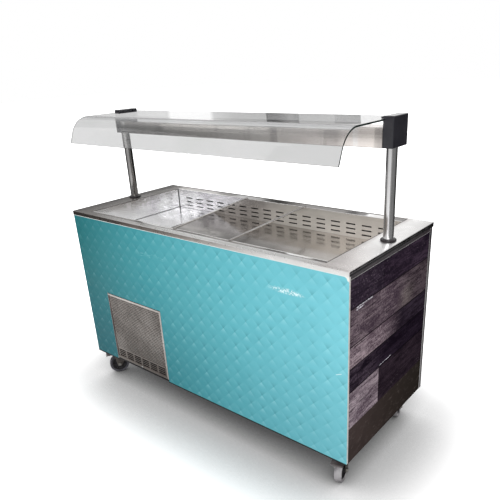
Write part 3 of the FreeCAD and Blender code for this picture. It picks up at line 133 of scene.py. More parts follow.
class Tree:
    """A node tree: most calls add a node and give back its output as a wire."""

    def __init__(self, tree):
        self.tree = tree

    def add(self, kind, **settings):
        made = self.tree.nodes.new(kind)
        for name, value in settings.items():
            setattr(made, name, value)
        return made

    def put(self, socket, value):
        """Links a wire or an output to a socket, or writes a plain number or colour there."""
        value = value.socket if isinstance(value, Wire) else value
        if isinstance(value, bpy.types.NodeSocket):
            self.tree.links.new(value, socket)
        else:
            socket.default_value = linear_colour(value) if socket.type == "RGBA" else value

    def fill(self, made, *values, output=0, **named):
        """Puts values into a node's first inputs and into the named ones, and gives back its output."""
        for socket, value in zip(made.inputs, values):
            self.put(socket, value)
        for name, value in named.items():
            self.put(made.inputs[name], value)
        return Wire(self, made.outputs[output])

    def math(self, operation, first, second=0.0):
        return self.fill(self.add("ShaderNodeMath", operation=operation), first, second, 0.0)


class Shader(Tree):
    """One node material, kept in looks under its name."""

    def __init__(self, name, roughness=0.5, metallic=0.0, **inputs):
        looks[name] = bpy.data.materials.new(name)
        looks[name].use_nodes = True
        super().__init__(looks[name].node_tree)
        self.surface = self.tree.nodes["Principled BSDF"]
        for socket, value in {"Roughness": roughness, "Metallic": metallic, **inputs}.items():
            self.set(socket.replace("_", " "), value)
        self.place = Wire(self, self.add("ShaderNodeTexCoord").outputs["Object"])
        split = self.add("ShaderNodeSeparateXYZ")
        self.fill(split, self.place)
        self.x, self.y, self.z = (Wire(self, split.outputs[axis]) for axis in "XYZ")

    def set(self, name, value):
        self.put(self.surface.inputs[name], value)

    def scaled(self, x=1.0, y=1.0, z=1.0, turn=0.0):
        """Object coordinates stretched along each axis and turned about Z by some degrees."""
        turned = (0, 0, math.radians(turn))
        return self.fill(self.add("ShaderNodeMapping"), Vector=self.place, Scale=(x, y, z), Rotation=turned)

    def noise(self, scale, detail=3.0, rough=0.5, distortion=0.0, vector=None):
        inputs = {"Scale": scale, "Detail": detail, "Roughness": rough, "Distortion": distortion}
        made = self.add("ShaderNodeTexNoise")
        return self.fill(made, Vector=vector or self.place, **inputs, output="Fac")

    def streaks(self, x, y, z, detail, rough, distortion=0.0):
        """Noise stretched along the axes with a small factor."""
        return self.noise(1, detail, rough, distortion, self.scaled(x, y, z))

    def cells(self, scale, vector=None):
        made = self.add("ShaderNodeTexVoronoi")
        return self.fill(made, Vector=vector or self.place, Scale=scale, output="Distance")

    def mix(self, amount, first, second, blend="MIX"):
        made = self.add("ShaderNodeMix", data_type="RGBA", blend_type=blend)
        return self.fill(made, Factor=amount, A=first, B=second, output="Result")

    def mask(self, lows, highs, edge):
        """1 inside a box of object coordinates, fading to 0 over edge; None leaves a side open."""
        inside = 1.0
        for place, low, high in zip((self.x, self.y, self.z), lows, highs):
            if low is not None:
                inside = inside * place.span(low - edge, low + edge)
            if high is not None:
                inside = inside * place.span(high - edge, high + edge, 1, 0)
        return inside

    def colour(self, value):
        self.set("Base Color", value)

    def rough(self, value):
        self.set("Roughness", value)

    def bump(self, height, strength, distance, below=None):
        """Adds relief, on top of the relief below."""
        under = {"Normal": below} if below else {}
        made = self.fill(self.add("ShaderNodeBump"), Height=height, Strength=strength, Distance=distance, **under)
        self.set("Normal", made)
        return made

    def grained(self, colour, lines, depth, amount=0.5):
        """A colour with the dark lines of a grain in it."""
        return self.mix(amount, colour, lines.ramp((0.3, depth), (0.7, 1.0)), "MULTIPLY")

    def finish(self, rough, lines, swell, swell_depth, grain_depth=0.00003):
        """Roughness, and slow dents under a fine grain."""
        self.rough(rough)
        self.bump(lines, 1.0, grain_depth, self.bump(swell, 1.0, swell_depth))


def steel(name, light, dark, roughness, grain, grain_depth, waves=0.0, wear=0.5, blotches=1.0):
    """Sheet metal: two tones in soft clouds, a fine grain along one way, and duller smudges."""
    shader = Shader(name, metallic=1.0)
    lines = shader.streaks(*grain, 3, 0.6)
    tint = shader.mix(shader.noise(3.5, 4, 0.6).span(0.35, 0.65), light, dark)
    shader.colour(shader.grained(tint, lines, 0.82, wear))
    smudge = shader.noise(11, 5, 0.65, 0.6)
    shader.rough(smudge.span(0.4, 0.7, roughness, roughness + (roughness * 0.5 + 0.05) * blotches) + lines * 0.08)
    swell = shader.bump(shader.noise(5, 2, 0.5, vector=shader.scaled(1, 1.5, 1)), 1.0, waves) if waves else None
    shader.bump(lines, 1.0, grain_depth, swell)


def make_worktop_steel():
    """Brushed sheet with painted light and shade along its length, darker towards the left end; its turned-down edges
    carry painted reflections, the top has painted shade along the cut-out, a painted reflection on the rear margin and
    a painted highlight at the rear of the right end.
    """
    shader = Shader("worktop_steel", metallic=1.0)
    x, y, z = shader.x, shader.y, shader.z
    lines = shader.streaks(4, 160, 160, 3, 0.6)
    length = x.span(-0.76, 0.76, smooth=False)
    # painted light and shade along the length: dark at the left end, brightest right of the middle
    tint = length.ramp(
        (0.0, (108, 103, 99)), (0.12, (158, 154, 150)), (0.25, (220, 217, 214)), (0.4, (246, 245, 243)),
        (0.6, (252, 252, 251)), (0.88, (234, 233, 232)), (0.94, (218, 212, 210)), (1.0, (236, 231, 229)),
    )
    # painted highlight on the rear of the right end of the top
    rear_end_highlight = x.span(0.65, 0.68) * (y + x * 1.4).span(0.72, 0.98)
    tint = shader.mix(rear_end_highlight, tint, (255, 254, 253))
    clouds = shader.noise(2.6, 4, 0.55)
    tint = shader.mix(clouds.span(0.4, 0.75, 0, 0.28), tint, (140, 131, 126))
    tint = shader.grained(tint, lines, 0.86)
    # the turned-down front edge: painted reflection, dark at the left and light at the right
    front_edge = length.ramp(
        (0.0, (112, 104, 99)), (0.25, (140, 129, 123)), (0.5, (172, 164, 158)),
        (0.8, (226, 224, 222)), (1.0, (232, 230, 228)),
    )
    # the turned-down end edges: painted reflection, dark with a lighter band across the middle
    band = abs(z - 0.8915)
    end_edge_reflection = shader.mix(band.span(0.001, 0.0035, 1, 0), (40, 37, 40), (128, 124, 126))
    edges = shader.mix(abs(x).span(0.7585, 0.7595), front_edge, end_edge_reflection)
    # painted shade: a darker band on the top along the cut-out edge
    cutout_rim_shade = shader.mask((-0.6565, -0.2915, None), (0.6565, 0.3075, None), 0.0006)
    # painted reflection: the rear margin darker, except at the right end
    rear_margin_reflection = y.span(0.290, 0.300) * x.span(0.55, 0.62, 1, 0)
    tint = shader.mix(rear_margin_reflection * 0.85, tint, (128, 123, 120))
    tint = shader.mix(cutout_rim_shade * 0.8, tint, (84, 79, 76))
    shader.colour(shader.mix(z.span(0.8968, 0.8980, 1, 0), tint, edges))
    rough = shader.noise(9, 5, 0.65, 0.8).span(0.4, 0.7, 0.22, 0.36) + lines * 0.08
    shader.finish(rough, lines, shader.noise(3.5, 2, 0.5), 0.0012)


def make_duct_steel():
    """Polished sheet: a dented flange with painted reflections and highlights in bands and a painted highlight along
    its inner lip; on the wall a painted light patch above a slanting line and at its left end, painted light towards
    the right and painted shade in the corners.
    """
    shader = Shader("duct_steel", metallic=1.0)
    x, y, z = shader.x, shader.y, shader.z
    place = x + (shader.noise(9, 3, 0.6) - 0.5) * 0.08
    # painted reflections and highlights in bands along the flange
    flange = place.span(-0.65, 0.65, smooth=False).ramp(
        (0.0, (140, 135, 131)), (0.28, (160, 157, 154)), (0.33, (255, 255, 255)),
        (0.42, (214, 210, 208)), (0.46, (84, 79, 76)), (0.55, (94, 89, 86)),
        (0.60, (158, 153, 150)), (0.78, (166, 161, 158)), (0.81, (72, 68, 66)),
        (0.87, (84, 79, 76)), (0.885, (255, 255, 255)), (0.94, (230, 226, 223)), (0.97, (96, 91, 88)),
    )
    from_left, slope, rise = 0.425, 0.428, 0.79
    # painted light: a lit patch on the wall above a slanting line and at its left end
    light_patch = (z - ((x + from_left) * slope + rise)).span(-0.002, 0.002)
    light_patch = light_patch.larger(x.span(-from_left - 0.003, -from_left + 0.003, 1, 0))
    clouds = shader.noise(5, 3, 0.6).span(0.38, 0.64)
    outside_light_patch = shader.mix(clouds, (200, 194, 190), (178, 172, 168))
    # painted light towards the right outside the patch
    outside_light_patch = shader.mix(x.span(-0.22, 0.18, 0, 0.55), outside_light_patch, (250, 243, 234))
    bright = shader.mix(clouds, (248, 247, 250), (228, 226, 230))
    lines = shader.streaks(4, 300, 300, 3, 0.6)
    wall = shader.grained(shader.mix(light_patch, outside_light_patch, bright), lines, 0.85)
    # painted shade in the corners at both ends of the wall
    wall = shader.mix(abs(x).span(0.6475, 0.6495) * 0.8, wall, (52, 50, 50))
    # painted highlight along the inner lip of the flange
    lip = y.span(-0.2765, -0.2755) * y.span(0.2650, 0.2660, 1, 0)
    flange = shader.mix(lip, flange, (250, 249, 247))
    shader.colour(shader.mix(z.span(0.8990, 0.8996), wall, flange))
    shader.set("Metallic", x.span(-0.22, 0.18, 0.82, 0.43))
    rough = shader.noise(14, 4, 0.6).span(0.4, 0.7, 0.12, 0.22)
    shader.finish(rough, lines, shader.noise(7, 2, 0.5), 0.0008)


def make_tank_steel():
    """Polished tank lining, darkened with painted shade towards the rear wall and, less, below the base plates."""
    shader = Shader("tank_steel", metallic=0.88)
    lines = shader.streaks(300, 4, 300, 3, 0.6)
    clouds = shader.noise(4, 4, 0.6).span(0.35, 0.65)
    base = shader.grained(shader.mix(clouds, (255, 255, 255), (246, 245, 246)), lines, 0.85, 0.4)
    # painted shade: dark at the rear and less dark below the level of the base plates
    corner_shade = shader.y.span(0.2575, 0.2595).larger(shader.z.span(0.8025, 0.8040, 0.45, 0))
    corner_shade = corner_shade * shader.z.span(0.895, 0.897, 1, 0)
    shader.colour(shader.mix(corner_shade * 0.8, base, (58, 55, 56)))
    rough = shader.noise(9, 5, 0.65).span(0.4, 0.7, 0.12, 0.24)
    shader.finish(rough, lines, shader.noise(5, 2, 0.5), 0.0008)


def make_beam_steel():
    """Polished channel, darkened towards the left with painted shade, with upright streaks where it has been wiped."""
    shader = Shader("beam_steel", metallic=1.0)
    # painted shade: darker towards the left
    tint = shader.x.span(-0.70, 0.70, smooth=False).ramp(
        (0.0, (120, 116, 112)), (0.25, (160, 156, 152)), (0.6, (196, 192, 188)), (0.85, (222, 214, 210)),
        (1.0, (246, 238, 232)),
    )
    wipe = shader.streaks(11, 2, 0.8, 3, 0.6, 0.3)
    tint = shader.mix(wipe.span(0.36, 0.48, 0.5, 0), tint, (110, 106, 104))
    tint = shader.mix(wipe.span(0.58, 0.68, 0, 0.6), tint, (250, 250, 250))
    lines = shader.streaks(4, 330, 330, 3, 0.6)
    shader.colour(shader.grained(tint, lines, 0.85))
    rough = shader.noise(11, 5, 0.65).span(0.4, 0.7, 0.12, 0.24)
    shader.finish(rough, lines, shader.streaks(6, 3, 3, 2, 0.5), 0.0008)


def make_base_steel():
    """Polished base plates: a painted light patch at the left; water marks over the rest, with painted light towards
    the right; painted dark reflections along the front and painted shade in the corners.
    """
    shader = Shader("base_steel", metallic=1.0)
    x, y = shader.x, shader.y
    clouds = shader.noise(6, 4, 0.62).span(0.38, 0.64)
    bright = shader.mix(clouds, (255, 255, 255), (246, 246, 246))
    # painted dark reflection along the front of the light patch
    bright = shader.mix(y.span(-0.21, -0.15, 0.6, 0), bright, (120, 116, 113))
    # painted dark reflection along the front of the rest, strongest at the left
    front = y.span(-0.04, 0.12, 1, 0) * x.span(0.0, 0.4, 1, 0.3)
    outside_light_patch = shader.mix(clouds, (188, 183, 178), (164, 159, 153))
    # painted light towards the right
    outside_light_patch = shader.mix(x.span(0.15, 0.55), outside_light_patch, (226, 220, 214))
    outside_light_patch = shader.mix(front * 0.80, outside_light_patch, (84, 80, 77))
    lines = shader.streaks(4, 260, 260, 3, 0.6)
    # painted light patch on the left, up to x = -0.39
    base = shader.grained(shader.mix(x.span(-0.394, -0.388, 1, 0), outside_light_patch, bright), lines, 0.88)
    # painted shade in the corners at the plates' ends and along the rear
    corner_shade = abs(x).span(0.6470, 0.6490).larger(y.span(0.2570, 0.2590) * x.span(-0.40, -0.38, 1, 0.2))
    shader.colour(shader.mix(corner_shade * 0.75, base, (58, 55, 54)))
    rough = shader.noise(17, 5, 0.7, 0.8).span(0.45, 0.72, 0.12, 0.26)
    shader.finish(rough, lines, shader.noise(4, 2, 0.5), 0.0006, 0.00002)


def make_front_decor():
    """Teal laminate with a printed pattern of quilted squares and a few scuffs; painted shade makes it darker towards
    the left and low down.
    """
    shader = Shader("front_laminate", Specular_IOR_Level=0.16)
    x, z = shader.x, shader.z
    pitch, button_x, button_z = 0.0614, 0.0637, 0.6025
    across = ((x - (button_x + pitch / 2)) / pitch).math("FRACT") - 0.5
    upward = ((z - (button_z - pitch / 2)) / pitch).math("FRACT") - 0.5
    distance = across ** 2.0 + upward ** 2.0
    fold = (across + upward).math("FRACT") + (upward - across).math("FRACT") - 1.0
    fold = fold * (distance * -5.5).math("EXPONENT")
    button = (distance * -90.0).math("EXPONENT")
    uneven = shader.noise(9, 3, 0.6).span(0.3, 0.7, 0.45, 1.2) * x.span(-0.76, 0.2, 0.4, 0.95)
    light = fold.span(0.0, 1.0, smooth=False) * uneven
    shade = (fold.span(-1.0, 0.0, 1, 0, smooth=False) + button * 0.25) * uneven
    # painted shade: darker towards the left
    base = x.span(-0.758, 0.758, smooth=False).ramp(
        (0.0, (22, 104, 109)), (0.33, (60, 148, 157)), (0.66, (94, 178, 189)), (1.0, (120, 199, 211)),
    )
    # painted shade: darker low down, most at the left
    lower_left_shade = z.span(0.15, 0.75, 0.62, 0.0) * x.span(-0.76, 0.4, 1, 0.35)
    base = shader.mix(lower_left_shade, base, (8, 84, 96))
    base = shader.mix(shade * 0.30, base, (8, 84, 98))
    base = shader.mix(light * 0.26, base, (186, 240, 246))
    clouds = shader.noise(6, 4, 0.6)
    base = shader.mix(clouds.span(0.45, 0.75, 0, 0.10), base, (40, 118, 132))

    # the long pale scuff near the top right, and a fainter one further left
    streak = shader.streaks(30, 30, 260, 4, 0.7)
    reach = ((x - 0.507) * 14.0) ** 2.0 + ((z - 0.775) * 84.0) ** 2.0 + (streak - 0.5) * 2.6
    scuff = reach.span(0.0, 1.3, 1, 0) * shader.noise(190, 4, 0.7).span(0.42, 0.64)
    base = shader.mix(scuff, base, (240, 250, 250))
    faint = shader.mask((-0.30, None, 0.762), (-0.13, None, 0.778), 0.006) * streak.span(0.52, 0.66)
    base = shader.mix(faint * 0.6, base, (170, 225, 230))
    # a short slanting scratch at the right edge
    along = x - 0.722
    off = abs((z - 0.517) - along * 0.45)
    scratch = off.span(0.0008, 0.002, 1, 0) * abs(along).span(0.009, 0.013, 1, 0)
    base = shader.mix(scratch * 0.7, base, (225, 240, 240))
    # the chipped corner, top right, and the worn top edge
    ragged = (shader.noise(110, 3, 0.6) - 0.5) * 0.020
    corner = (0.758 - x) + (0.882 - z) * 0.75 + ragged
    base = shader.mix(corner.span(0.014, 0.017, 1, 0), base, (236, 233, 226))
    shader.colour(shader.mix(z.span(0.8788, 0.8794), base, (232, 236, 234)))
    shader.rough(clouds.span(0.3, 0.7, 0.36, 0.46) + scuff * 0.3)
    shader.bump(shader.noise(420, 2, 0.5), 0.12, 0.0003, shader.bump(button, -0.1, 0.0004))


def make_board_edge(name, pale, dark):
    """Sawn edge of a laminated board with fine layers."""
    shader = Shader(name, roughness=0.6)
    spots = shader.noise(45, 4, 0.7)
    shader.colour(shader.mix((shader.streaks(60, 900, 12, 4, 0.7) + spots).span(0.85, 1.25), pale, dark))
    shader.bump(spots, 0.3, 0.0003)


# heights of the joints between the planks, from the top down
JOINTS = (0.762, 0.624, 0.539, 0.447)
# each plank's light and dark tone at the front, then at the rear, and the two places between which they change
PLANKS = (
    ((69, 58, 70), (34, 27, 37), (60, 48, 61), (28, 21, 31), -0.086, -0.080),
    ((120, 106, 112), (60, 48, 58), (86, 75, 80), (40, 31, 38), 0.06, 0.22),
    ((160, 144, 150), (80, 66, 75), (54, 45, 56), (27, 20, 29), -0.05, 0.14),
    ((73, 62, 73), (22, 16, 25), (42, 33, 45), (19, 13, 22), -0.16, 0.02),
    ((160, 146, 153), (84, 71, 80), (52, 42, 50), (26, 19, 26), -0.098, -0.094),
)
# two planks are in two lengths: where the butt joint is, and the joints below and above it
BUTTS = ((-0.085, JOINTS[0], None), (-0.096, None, JOINTS[3]))
# scratches: front end, rear end, height and half width
SCRATCHES = ((-0.268, -0.163, 0.758, 0.0022), (-0.272, -0.222, 0.750, 0.0026), (-0.093, -0.003, 0.455, 0.0014))


def make_plank_decor():
    """Five printed planks, one above another, each with its own tone, grain, cracks and knots; three scratches."""
    shader = Shader("plank_decor", Specular_IOR_Level=0.0)
    y, z = shader.y, shader.z
    grain = shader.streaks(10, 10, 95, 7, 0.7, 0.8)
    broad = shader.streaks(6, 6, 13, 5, 0.65, 0.7)
    spread = (grain * 0.35 + broad * 0.35 + shader.noise(120, 4, 0.75) * 0.30).span(0.43, 0.59)
    planks = []
    for light, dark, rear_light, rear_dark, start, end in PLANKS:
        sharp_change = end - start < 0.01
        rear = (y + broad * (0.0 if sharp_change else 0.12)).span(start, end)
        front_tone = shader.mix(spread, dark, light)
        planks.append(shader.mix(rear, front_tone, shader.mix(spread, rear_dark, rear_light)))
    pale_patch = shader.mask((None, 0.05, 0.636), (None, 0.15, 0.690), 0.05) * broad.span(0.38, 0.58, 0.2, 0.6)
    planks[1] = shader.mix(pale_patch, planks[1], (128, 118, 114))
    base, gap = planks[0], None
    for joint, plank in zip(JOINTS, planks[1:]):
        base = shader.mix(z.span(joint - 0.0008, joint + 0.0008, 1, 0), base, plank)
        line = abs(z - joint).span(0.0014, 0.0034, 1, 0)
        gap = line if gap is None else gap.larger(line)
    for place, low, high in BUTTS:
        line = abs(y - place).span(0.0006, 0.0018, 1, 0)
        gap = gap.larger(line * shader.mask((None, None, low), (None, None, high), 0.002))
    cracks = shader.streaks(9, 9, 150, 5, 0.6, 0.6).span(0.56, 0.61) * broad.span(0.40, 0.55)
    base = shader.mix(cracks * 0.75, base, (20, 15, 20))
    base = shader.mix(gap * 0.9, base, (12, 9, 13))
    knots = shader.cells(7, shader.scaled(1, 1, 2.2))
    base = shader.mix(knots.span(0.05, 0.10, 0.7, 0), base, (30, 24, 30))
    wobble = (shader.noise(55, 3, 0.7) - 0.5) * 0.009
    pressed = shader.noise(160, 3, 0.7).span(0.38, 0.55)
    for start, end, height, half in SCRATCHES:
        stroke = abs(z + wobble - height).span(half * 0.6, half * 1.5, 1, 0)
        stroke = stroke * shader.mask((None, start, None), (None, end, None), 0.006)
        base = shader.mix(stroke * pressed * 0.85, base, (222, 220, 228))
    corner = y.span(-0.14, 0.0, 1, 0) * z.span(0.66, 0.74)
    sparse = shader.noise(10, 2, 0.5).span(0.55, 0.65).larger(corner * 0.8)
    base = shader.mix(shader.cells(90).span(0.08, 0.16, 0.6, 0) * sparse, base, (172, 162, 166))
    shader.colour(base)
    shader.rough(grain.span(0.3, 0.7, 0.42, 0.6))
    shader.bump(gap, -0.6, 0.0008, shader.bump(grain, 0.35, 0.0004))


def make_plinth_board():
    """Dark brown board, a little lighter towards the front."""
    shader = Shader("plinth_board", roughness=0.6, Specular_IOR_Level=0.0)
    fine = shader.streaks(30, 30, 60, 5, 0.7)
    base = shader.y.span(-0.31, 0.29, smooth=False).ramp((0.0, (67, 57, 55)), (0.5, (50, 43, 40)), (1.0, (37, 33, 29)))
    base = shader.mix(shader.noise(9, 4, 0.6).span(0.4, 0.7, 0, 0.35), base, (40, 35, 34))
    shader.colour(shader.mix(fine.span(0.52, 0.72, 0, 0.30), base, (104, 94, 92)))
    shader.bump(fine, 0.4, 0.0003)


def plastic(name, light, dark, roughness, grain, depth, scuffs, shine=0.3):
    """Moulded plastic or paint: slight tone clouds, fine grain and pale rub marks."""
    shader = Shader(name, Specular_IOR_Level=shine)
    base = shader.mix(shader.noise(8, 4, 0.6).span(0.35, 0.65), light, dark)
    marks = shader.streaks(40, 40, 9, 5, 0.75, 1.5).span(0.6, 0.72) * scuffs
    shader.colour(shader.mix(marks, base, (150, 148, 146)))
    shader.rough(shader.noise(15, 4, 0.6).span(0.35, 0.7, roughness * 0.85, roughness * 1.25 + 0.04))
    shader.bump(shader.noise(grain, 2, 0.5), 0.5, depth)


def make_foam():
    shader = Shader("foam", roughness=0.9)
    cells = shader.cells(420)
    shader.colour(shader.mix(cells.span(0.1, 0.6), (214, 190, 120), (238, 219, 160)))
    shader.bump(cells, 0.6, 0.0008)


def make_opal():
    """Ribbed milky diffuser with a little dust."""
    shader = Shader("opal", roughness=0.4)
    shader.colour(shader.mix(shader.noise(30, 5, 0.7).span(0.45, 0.75), (238, 238, 234), (206, 204, 198)))
    shader.bump(shader.streaks(2, 300, 2, 2, 0.5), 0.4, 0.0003)


def make_glass():
    """Clear float glass with faint wipe marks; shadow and diffuse rays pass straight through."""
    shader = Shader("clear_glass", Transmission_Weight=1.0, IOR=1.5)
    wipe = shader.noise(1, 5, 0.7, 1.0, shader.scaled(3, 9, 9, turn=20))
    shader.colour(shader.mix(wipe.span(0.4, 0.7), (236, 236, 236), (231, 232, 231)))
    shader.rough(wipe.span(0.5, 0.75, 0.0, 0.05))
    clear = shader.fill(shader.add("ShaderNodeBsdfTransparent"), (238, 242, 240))
    rays = shader.add("ShaderNodeLightPath").outputs
    either = shader.math("MAXIMUM", rays["Is Shadow Ray"], rays["Is Diffuse Ray"])
    blend = shader.fill(shader.add("ShaderNodeMixShader"), either, shader.surface.outputs[0], clear)
    shader.put(shader.tree.nodes["Material Output"].inputs["Surface"], blend)


def make_glass_edge():
    """Ground edge of the glass sheet, dark green."""
    shader = Shader("glass_edge", roughness=0.25, Transmission_Weight=0.1, IOR=1.5)
    shader.colour(shader.mix(shader.noise(60, 4, 0.6).span(0.35, 0.65), (14, 24, 21), (34, 48, 43)))
    shader.bump(shader.noise(500, 2, 0.5), 0.3, 0.0002)


def make_rubber():
    """Dusty tyre rubber, darker at the left, which stands in the shade in the photo."""
    shader = Shader("tyre_rubber", roughness=0.62)
    dirt = shader.noise(24, 5, 0.7)
    dirty = dirt.span(0.4, 0.68)
    dark, pale = shader.mix(dirty, (84, 83, 90), (52, 50, 56)), shader.mix(dirty, (166, 163, 165), (112, 108, 111))
    shader.colour(shader.mix(shader.x.span(-0.6, 0.5), dark, pale))
    shader.rough(dirt.span(0.35, 0.7, 0.5, 0.72))
    shader.bump(shader.noise(150, 4, 0.6), 0.4, 0.0004)


# name, light tone, dark tone, roughness, grain, grain depth, waves, wear, blotches
STEELS = (
    ("well_steel", (250, 249, 248), (230, 227, 225), 0.10, (4, 300, 300), 0.00003, 0.0009),
    ("panel_steel", (208, 207, 206), (199, 197, 196), 0.36, (4, 360, 360), 0.00005, 0.0002, 0.5, 0.2),
    ("bar_steel", (206, 203, 200), (178, 174, 171), 0.16, (4, 300, 300), 0.00003),
    # a darker copy of chrome: painted shade on the left post
    ("chrome_dim", (176, 175, 174), (150, 148, 146), 0.045, (120, 120, 6), 0.00001, 0.0002, 0.25),
    ("fork_zinc", (132, 127, 122), (90, 85, 81), 0.30, (160, 160, 160), 0.00006, 0.0003),
    ("chrome", (232, 232, 233), (214, 213, 213), 0.045, (120, 120, 6), 0.00001, 0.0002, 0.25),
    ("galvanised", (178, 180, 182), (142, 144, 147), 0.38, (40, 40, 40), 0.00008, 0.0005),
    ("zinc", (186, 184, 180), (138, 134, 128), 0.30, (160, 160, 160), 0.00006, 0.0003),
    ("fin_metal", (196, 198, 200), (160, 160, 160), 0.34, (90, 90, 12), 0.00006, 0.0004),
    ("grille_steel", (222, 217, 213), (190, 183, 178), 0.22, (60, 60, 60), 0.00004, 0.0003),
    # darker copies of grille_steel: painted shade on the bottom and left bars of the frame
    ("grille_dim", (150, 142, 136), (118, 110, 105), 0.26, (60, 60, 60), 0.00004, 0.0003),
    ("grille_shade", (122, 108, 105), (92, 80, 78), 0.30, (60, 60, 60), 0.00004, 0.0003),
    ("grille_sheet", (176, 169, 164), (138, 131, 126), 0.34, (50, 50, 260), 0.00005, 0.0004),
)
# name, light tone, dark tone, roughness, grain, grain depth, scuffs, shine
PLASTICS = (
    ("dark_trim", (44, 34, 40), (28, 21, 26), 0.32, 240, 0.0001, 0.12),
    ("black_gloss", (42, 41, 46), (30, 30, 35), 0.10, 90, 0.00005, 0.12, 0.5),
    ("collar_dark", (48, 44, 46), (30, 27, 30), 0.24, 120, 0.0001, 0.2),
    ("hub_plastic", (44, 42, 44), (28, 26, 28), 0.38, 200, 0.0002, 0.3),
    ("pedal_black", (120, 114, 114), (84, 78, 78), 0.40, 200, 0.0002, 0.35),
    ("fan_plastic", (58, 60, 64), (42, 43, 47), 0.42, 200, 0.0002, 0.15),
    ("machine_black", (38, 38, 40), (24, 24, 26), 0.32, 160, 0.0002, 0.2),
    ("switch_green", (40, 150, 78), (30, 122, 62), 0.22, 160, 0.00005, 0.1),
    ("panel_black", (40, 40, 43), (28, 28, 31), 0.36, 300, 0.00015, 0.15),
    ("display_dark", (48, 20, 22), (34, 14, 16), 0.10, 60, 0.00002, 0.05),
    ("filter_black", (20, 19, 19), (9, 9, 9), 0.8, 300, 0.0004, 0.05, 0.1),
    # the black edging under the front board, and the block that stands in for the shade below the grille
    ("edging_black", (26, 24, 25), (16, 15, 16), 0.55, 200, 0.0002, 0.1),
    ("sealant", (84, 79, 77), (66, 62, 60), 0.5, 60, 0.0001, 0.0, 0.1),
)
for row in STEELS:
    steel(*row)
for row in PLASTICS:
    plastic(*row)
make_worktop_steel()
make_duct_steel()
make_tank_steel()
make_beam_steel()
make_base_steel()
make_front_decor()
make_board_edge("front_edge", (206, 204, 200), (170, 166, 160))
make_board_edge("plank_edge", (96, 84, 78), (58, 50, 48))
make_plank_decor()
make_plinth_board()
make_foam()
make_opal()
make_glass()
make_glass_edge()
make_rubber()


# ---------------------------------------------------------------- mesh helpers


def add_piece(name, shape, materials, stands_for=(), body="cabinet", bevel=0.0, steps=2, angle=35):
    """Turns a bmesh given in millimetres into a piece that rides on a body; materials are names in looks."""
    bmesh.ops.scale(shape, vec=(MM, MM, MM), verts=shape.verts)
    bmesh.ops.recalc_face_normals(shape, faces=shape.faces)
    mesh = bpy.data.meshes.new(name)
    shape.to_mesh(mesh)
    shape.free()
    for material in materials:
        mesh.materials.append(looks[material])
    for polygon in mesh.polygons:
        polygon.use_smooth = True
    mesh.set_sharp_from_angle(angle=math.radians(angle))
    made = bpy.data.objects.new(name, mesh)
    scene.collection.objects.link(made)
    if bevel:
        edge = made.modifiers.new("edges", "BEVEL")
        edge.width = bevel * MM
        edge.segments = steps
        edge.limit_method = "ANGLE"
        edge.angle_limit = math.radians(50)
        edge.harden_normals = True
    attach(made, body)
    if stands_for:
        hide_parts(*stands_for)


def limits(node):
    """Lowest and highest corner of a CAD node, in millimetres."""
    low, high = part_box(node)
    return low / MM, high / MM


def paint(shape, index, wanted):
    """Gives a material index to the faces for which wanted(normal, middle) holds."""
    for face in shape.faces:
        face.normal_update()
        if wanted(face.normal, face.calc_center_median()):
            face.material_index = index


def block(shape, low, high, index=0):
    """A closed box between two corners."""
    corners = (Vector(low), Vector(high))
    made = bmesh.ops.create_cube(shape, size=1)["verts"]
    for vertex in made:
        vertex.co = Vector([corners[vertex.co[axis] >= 0][axis] for axis in range(3)])
    for face in {face for vertex in made for face in vertex.link_faces}:
        face.material_index = index
    return made


def ring_pairs(row):
    """Each item of a closed ring with the one after it."""
    return list(zip(row, row[1:] + row[:1]))


def loft(shape, loops):
    """Faces between closed loops with the same number of points each; the last loop joins the first."""
    rows = [[shape.verts.new(point) for point in loop] for loop in loops]
    for first, second in ring_pairs(rows):
        for (a, b), (c, d) in zip(ring_pairs(first), ring_pairs(second)):
            shape.faces.new((a, b, d, c))


def rounded(low_x, low_y, high_x, high_y, radius, z, steps=4):
    """A rectangle with rounded corners, as points round it at one height."""
    points = []
    corners = ((high_x, high_y, 0), (low_x, high_y, 90), (low_x, low_y, 180), (high_x, low_y, 270))
    for x, y, start in corners:
        side_x, side_y = (1 if x == high_x else -1), (1 if y == high_y else -1)
        middle = Vector((x - side_x * radius, y - side_y * radius))
        for step in range(steps + 1):
            angle = math.radians(start + 90 * step / steps)
            points.append((middle.x + radius * math.cos(angle), middle.y + radius * math.sin(angle), z))
    return points


def prism(shape, outline, start, end, axis, index=0):
    """An outline of two coordinates pushed along the third axis."""
    def point(first, second, third):
        return {"X": (third, first, second), "Y": (first, third, second)}[axis]
    near, far = ([shape.verts.new(point(*place, end_place)) for place in outline] for end_place in (start, end))
    faces = [shape.faces.new(near), shape.faces.new(far[::-1])]
    for (a, b), (c, d) in zip(ring_pairs(near), ring_pairs(far)):
        faces.append(shape.faces.new((a, c, d, b)))
    for face in faces:
        face.material_index = index


def spin(shape, profile, matrix, count):
    """A closed profile of (radius, height) points turned about Z, then moved by matrix."""
    rows = []
    for step in range(count):
        angle = 2 * math.pi * step / count
        places = [Vector((radius * math.cos(angle), radius * math.sin(angle), height)) for radius, height in profile]
        rows.append([shape.verts.new(matrix @ place) for place in places])
    for first, second in ring_pairs(rows):
        for (a, b), (c, d) in zip(ring_pairs(first), ring_pairs(second)):
            shape.faces.new((a, b, d, c))
    bmesh.ops.remove_doubles(shape, verts=[vertex for row in rows for vertex in row], dist=0.001)


# ---------------------------------------------------------------- worktop and well


# low x, low y, high x, high y of the opening in the worktop
CUTOUT = (-653, -288, 653, 304)


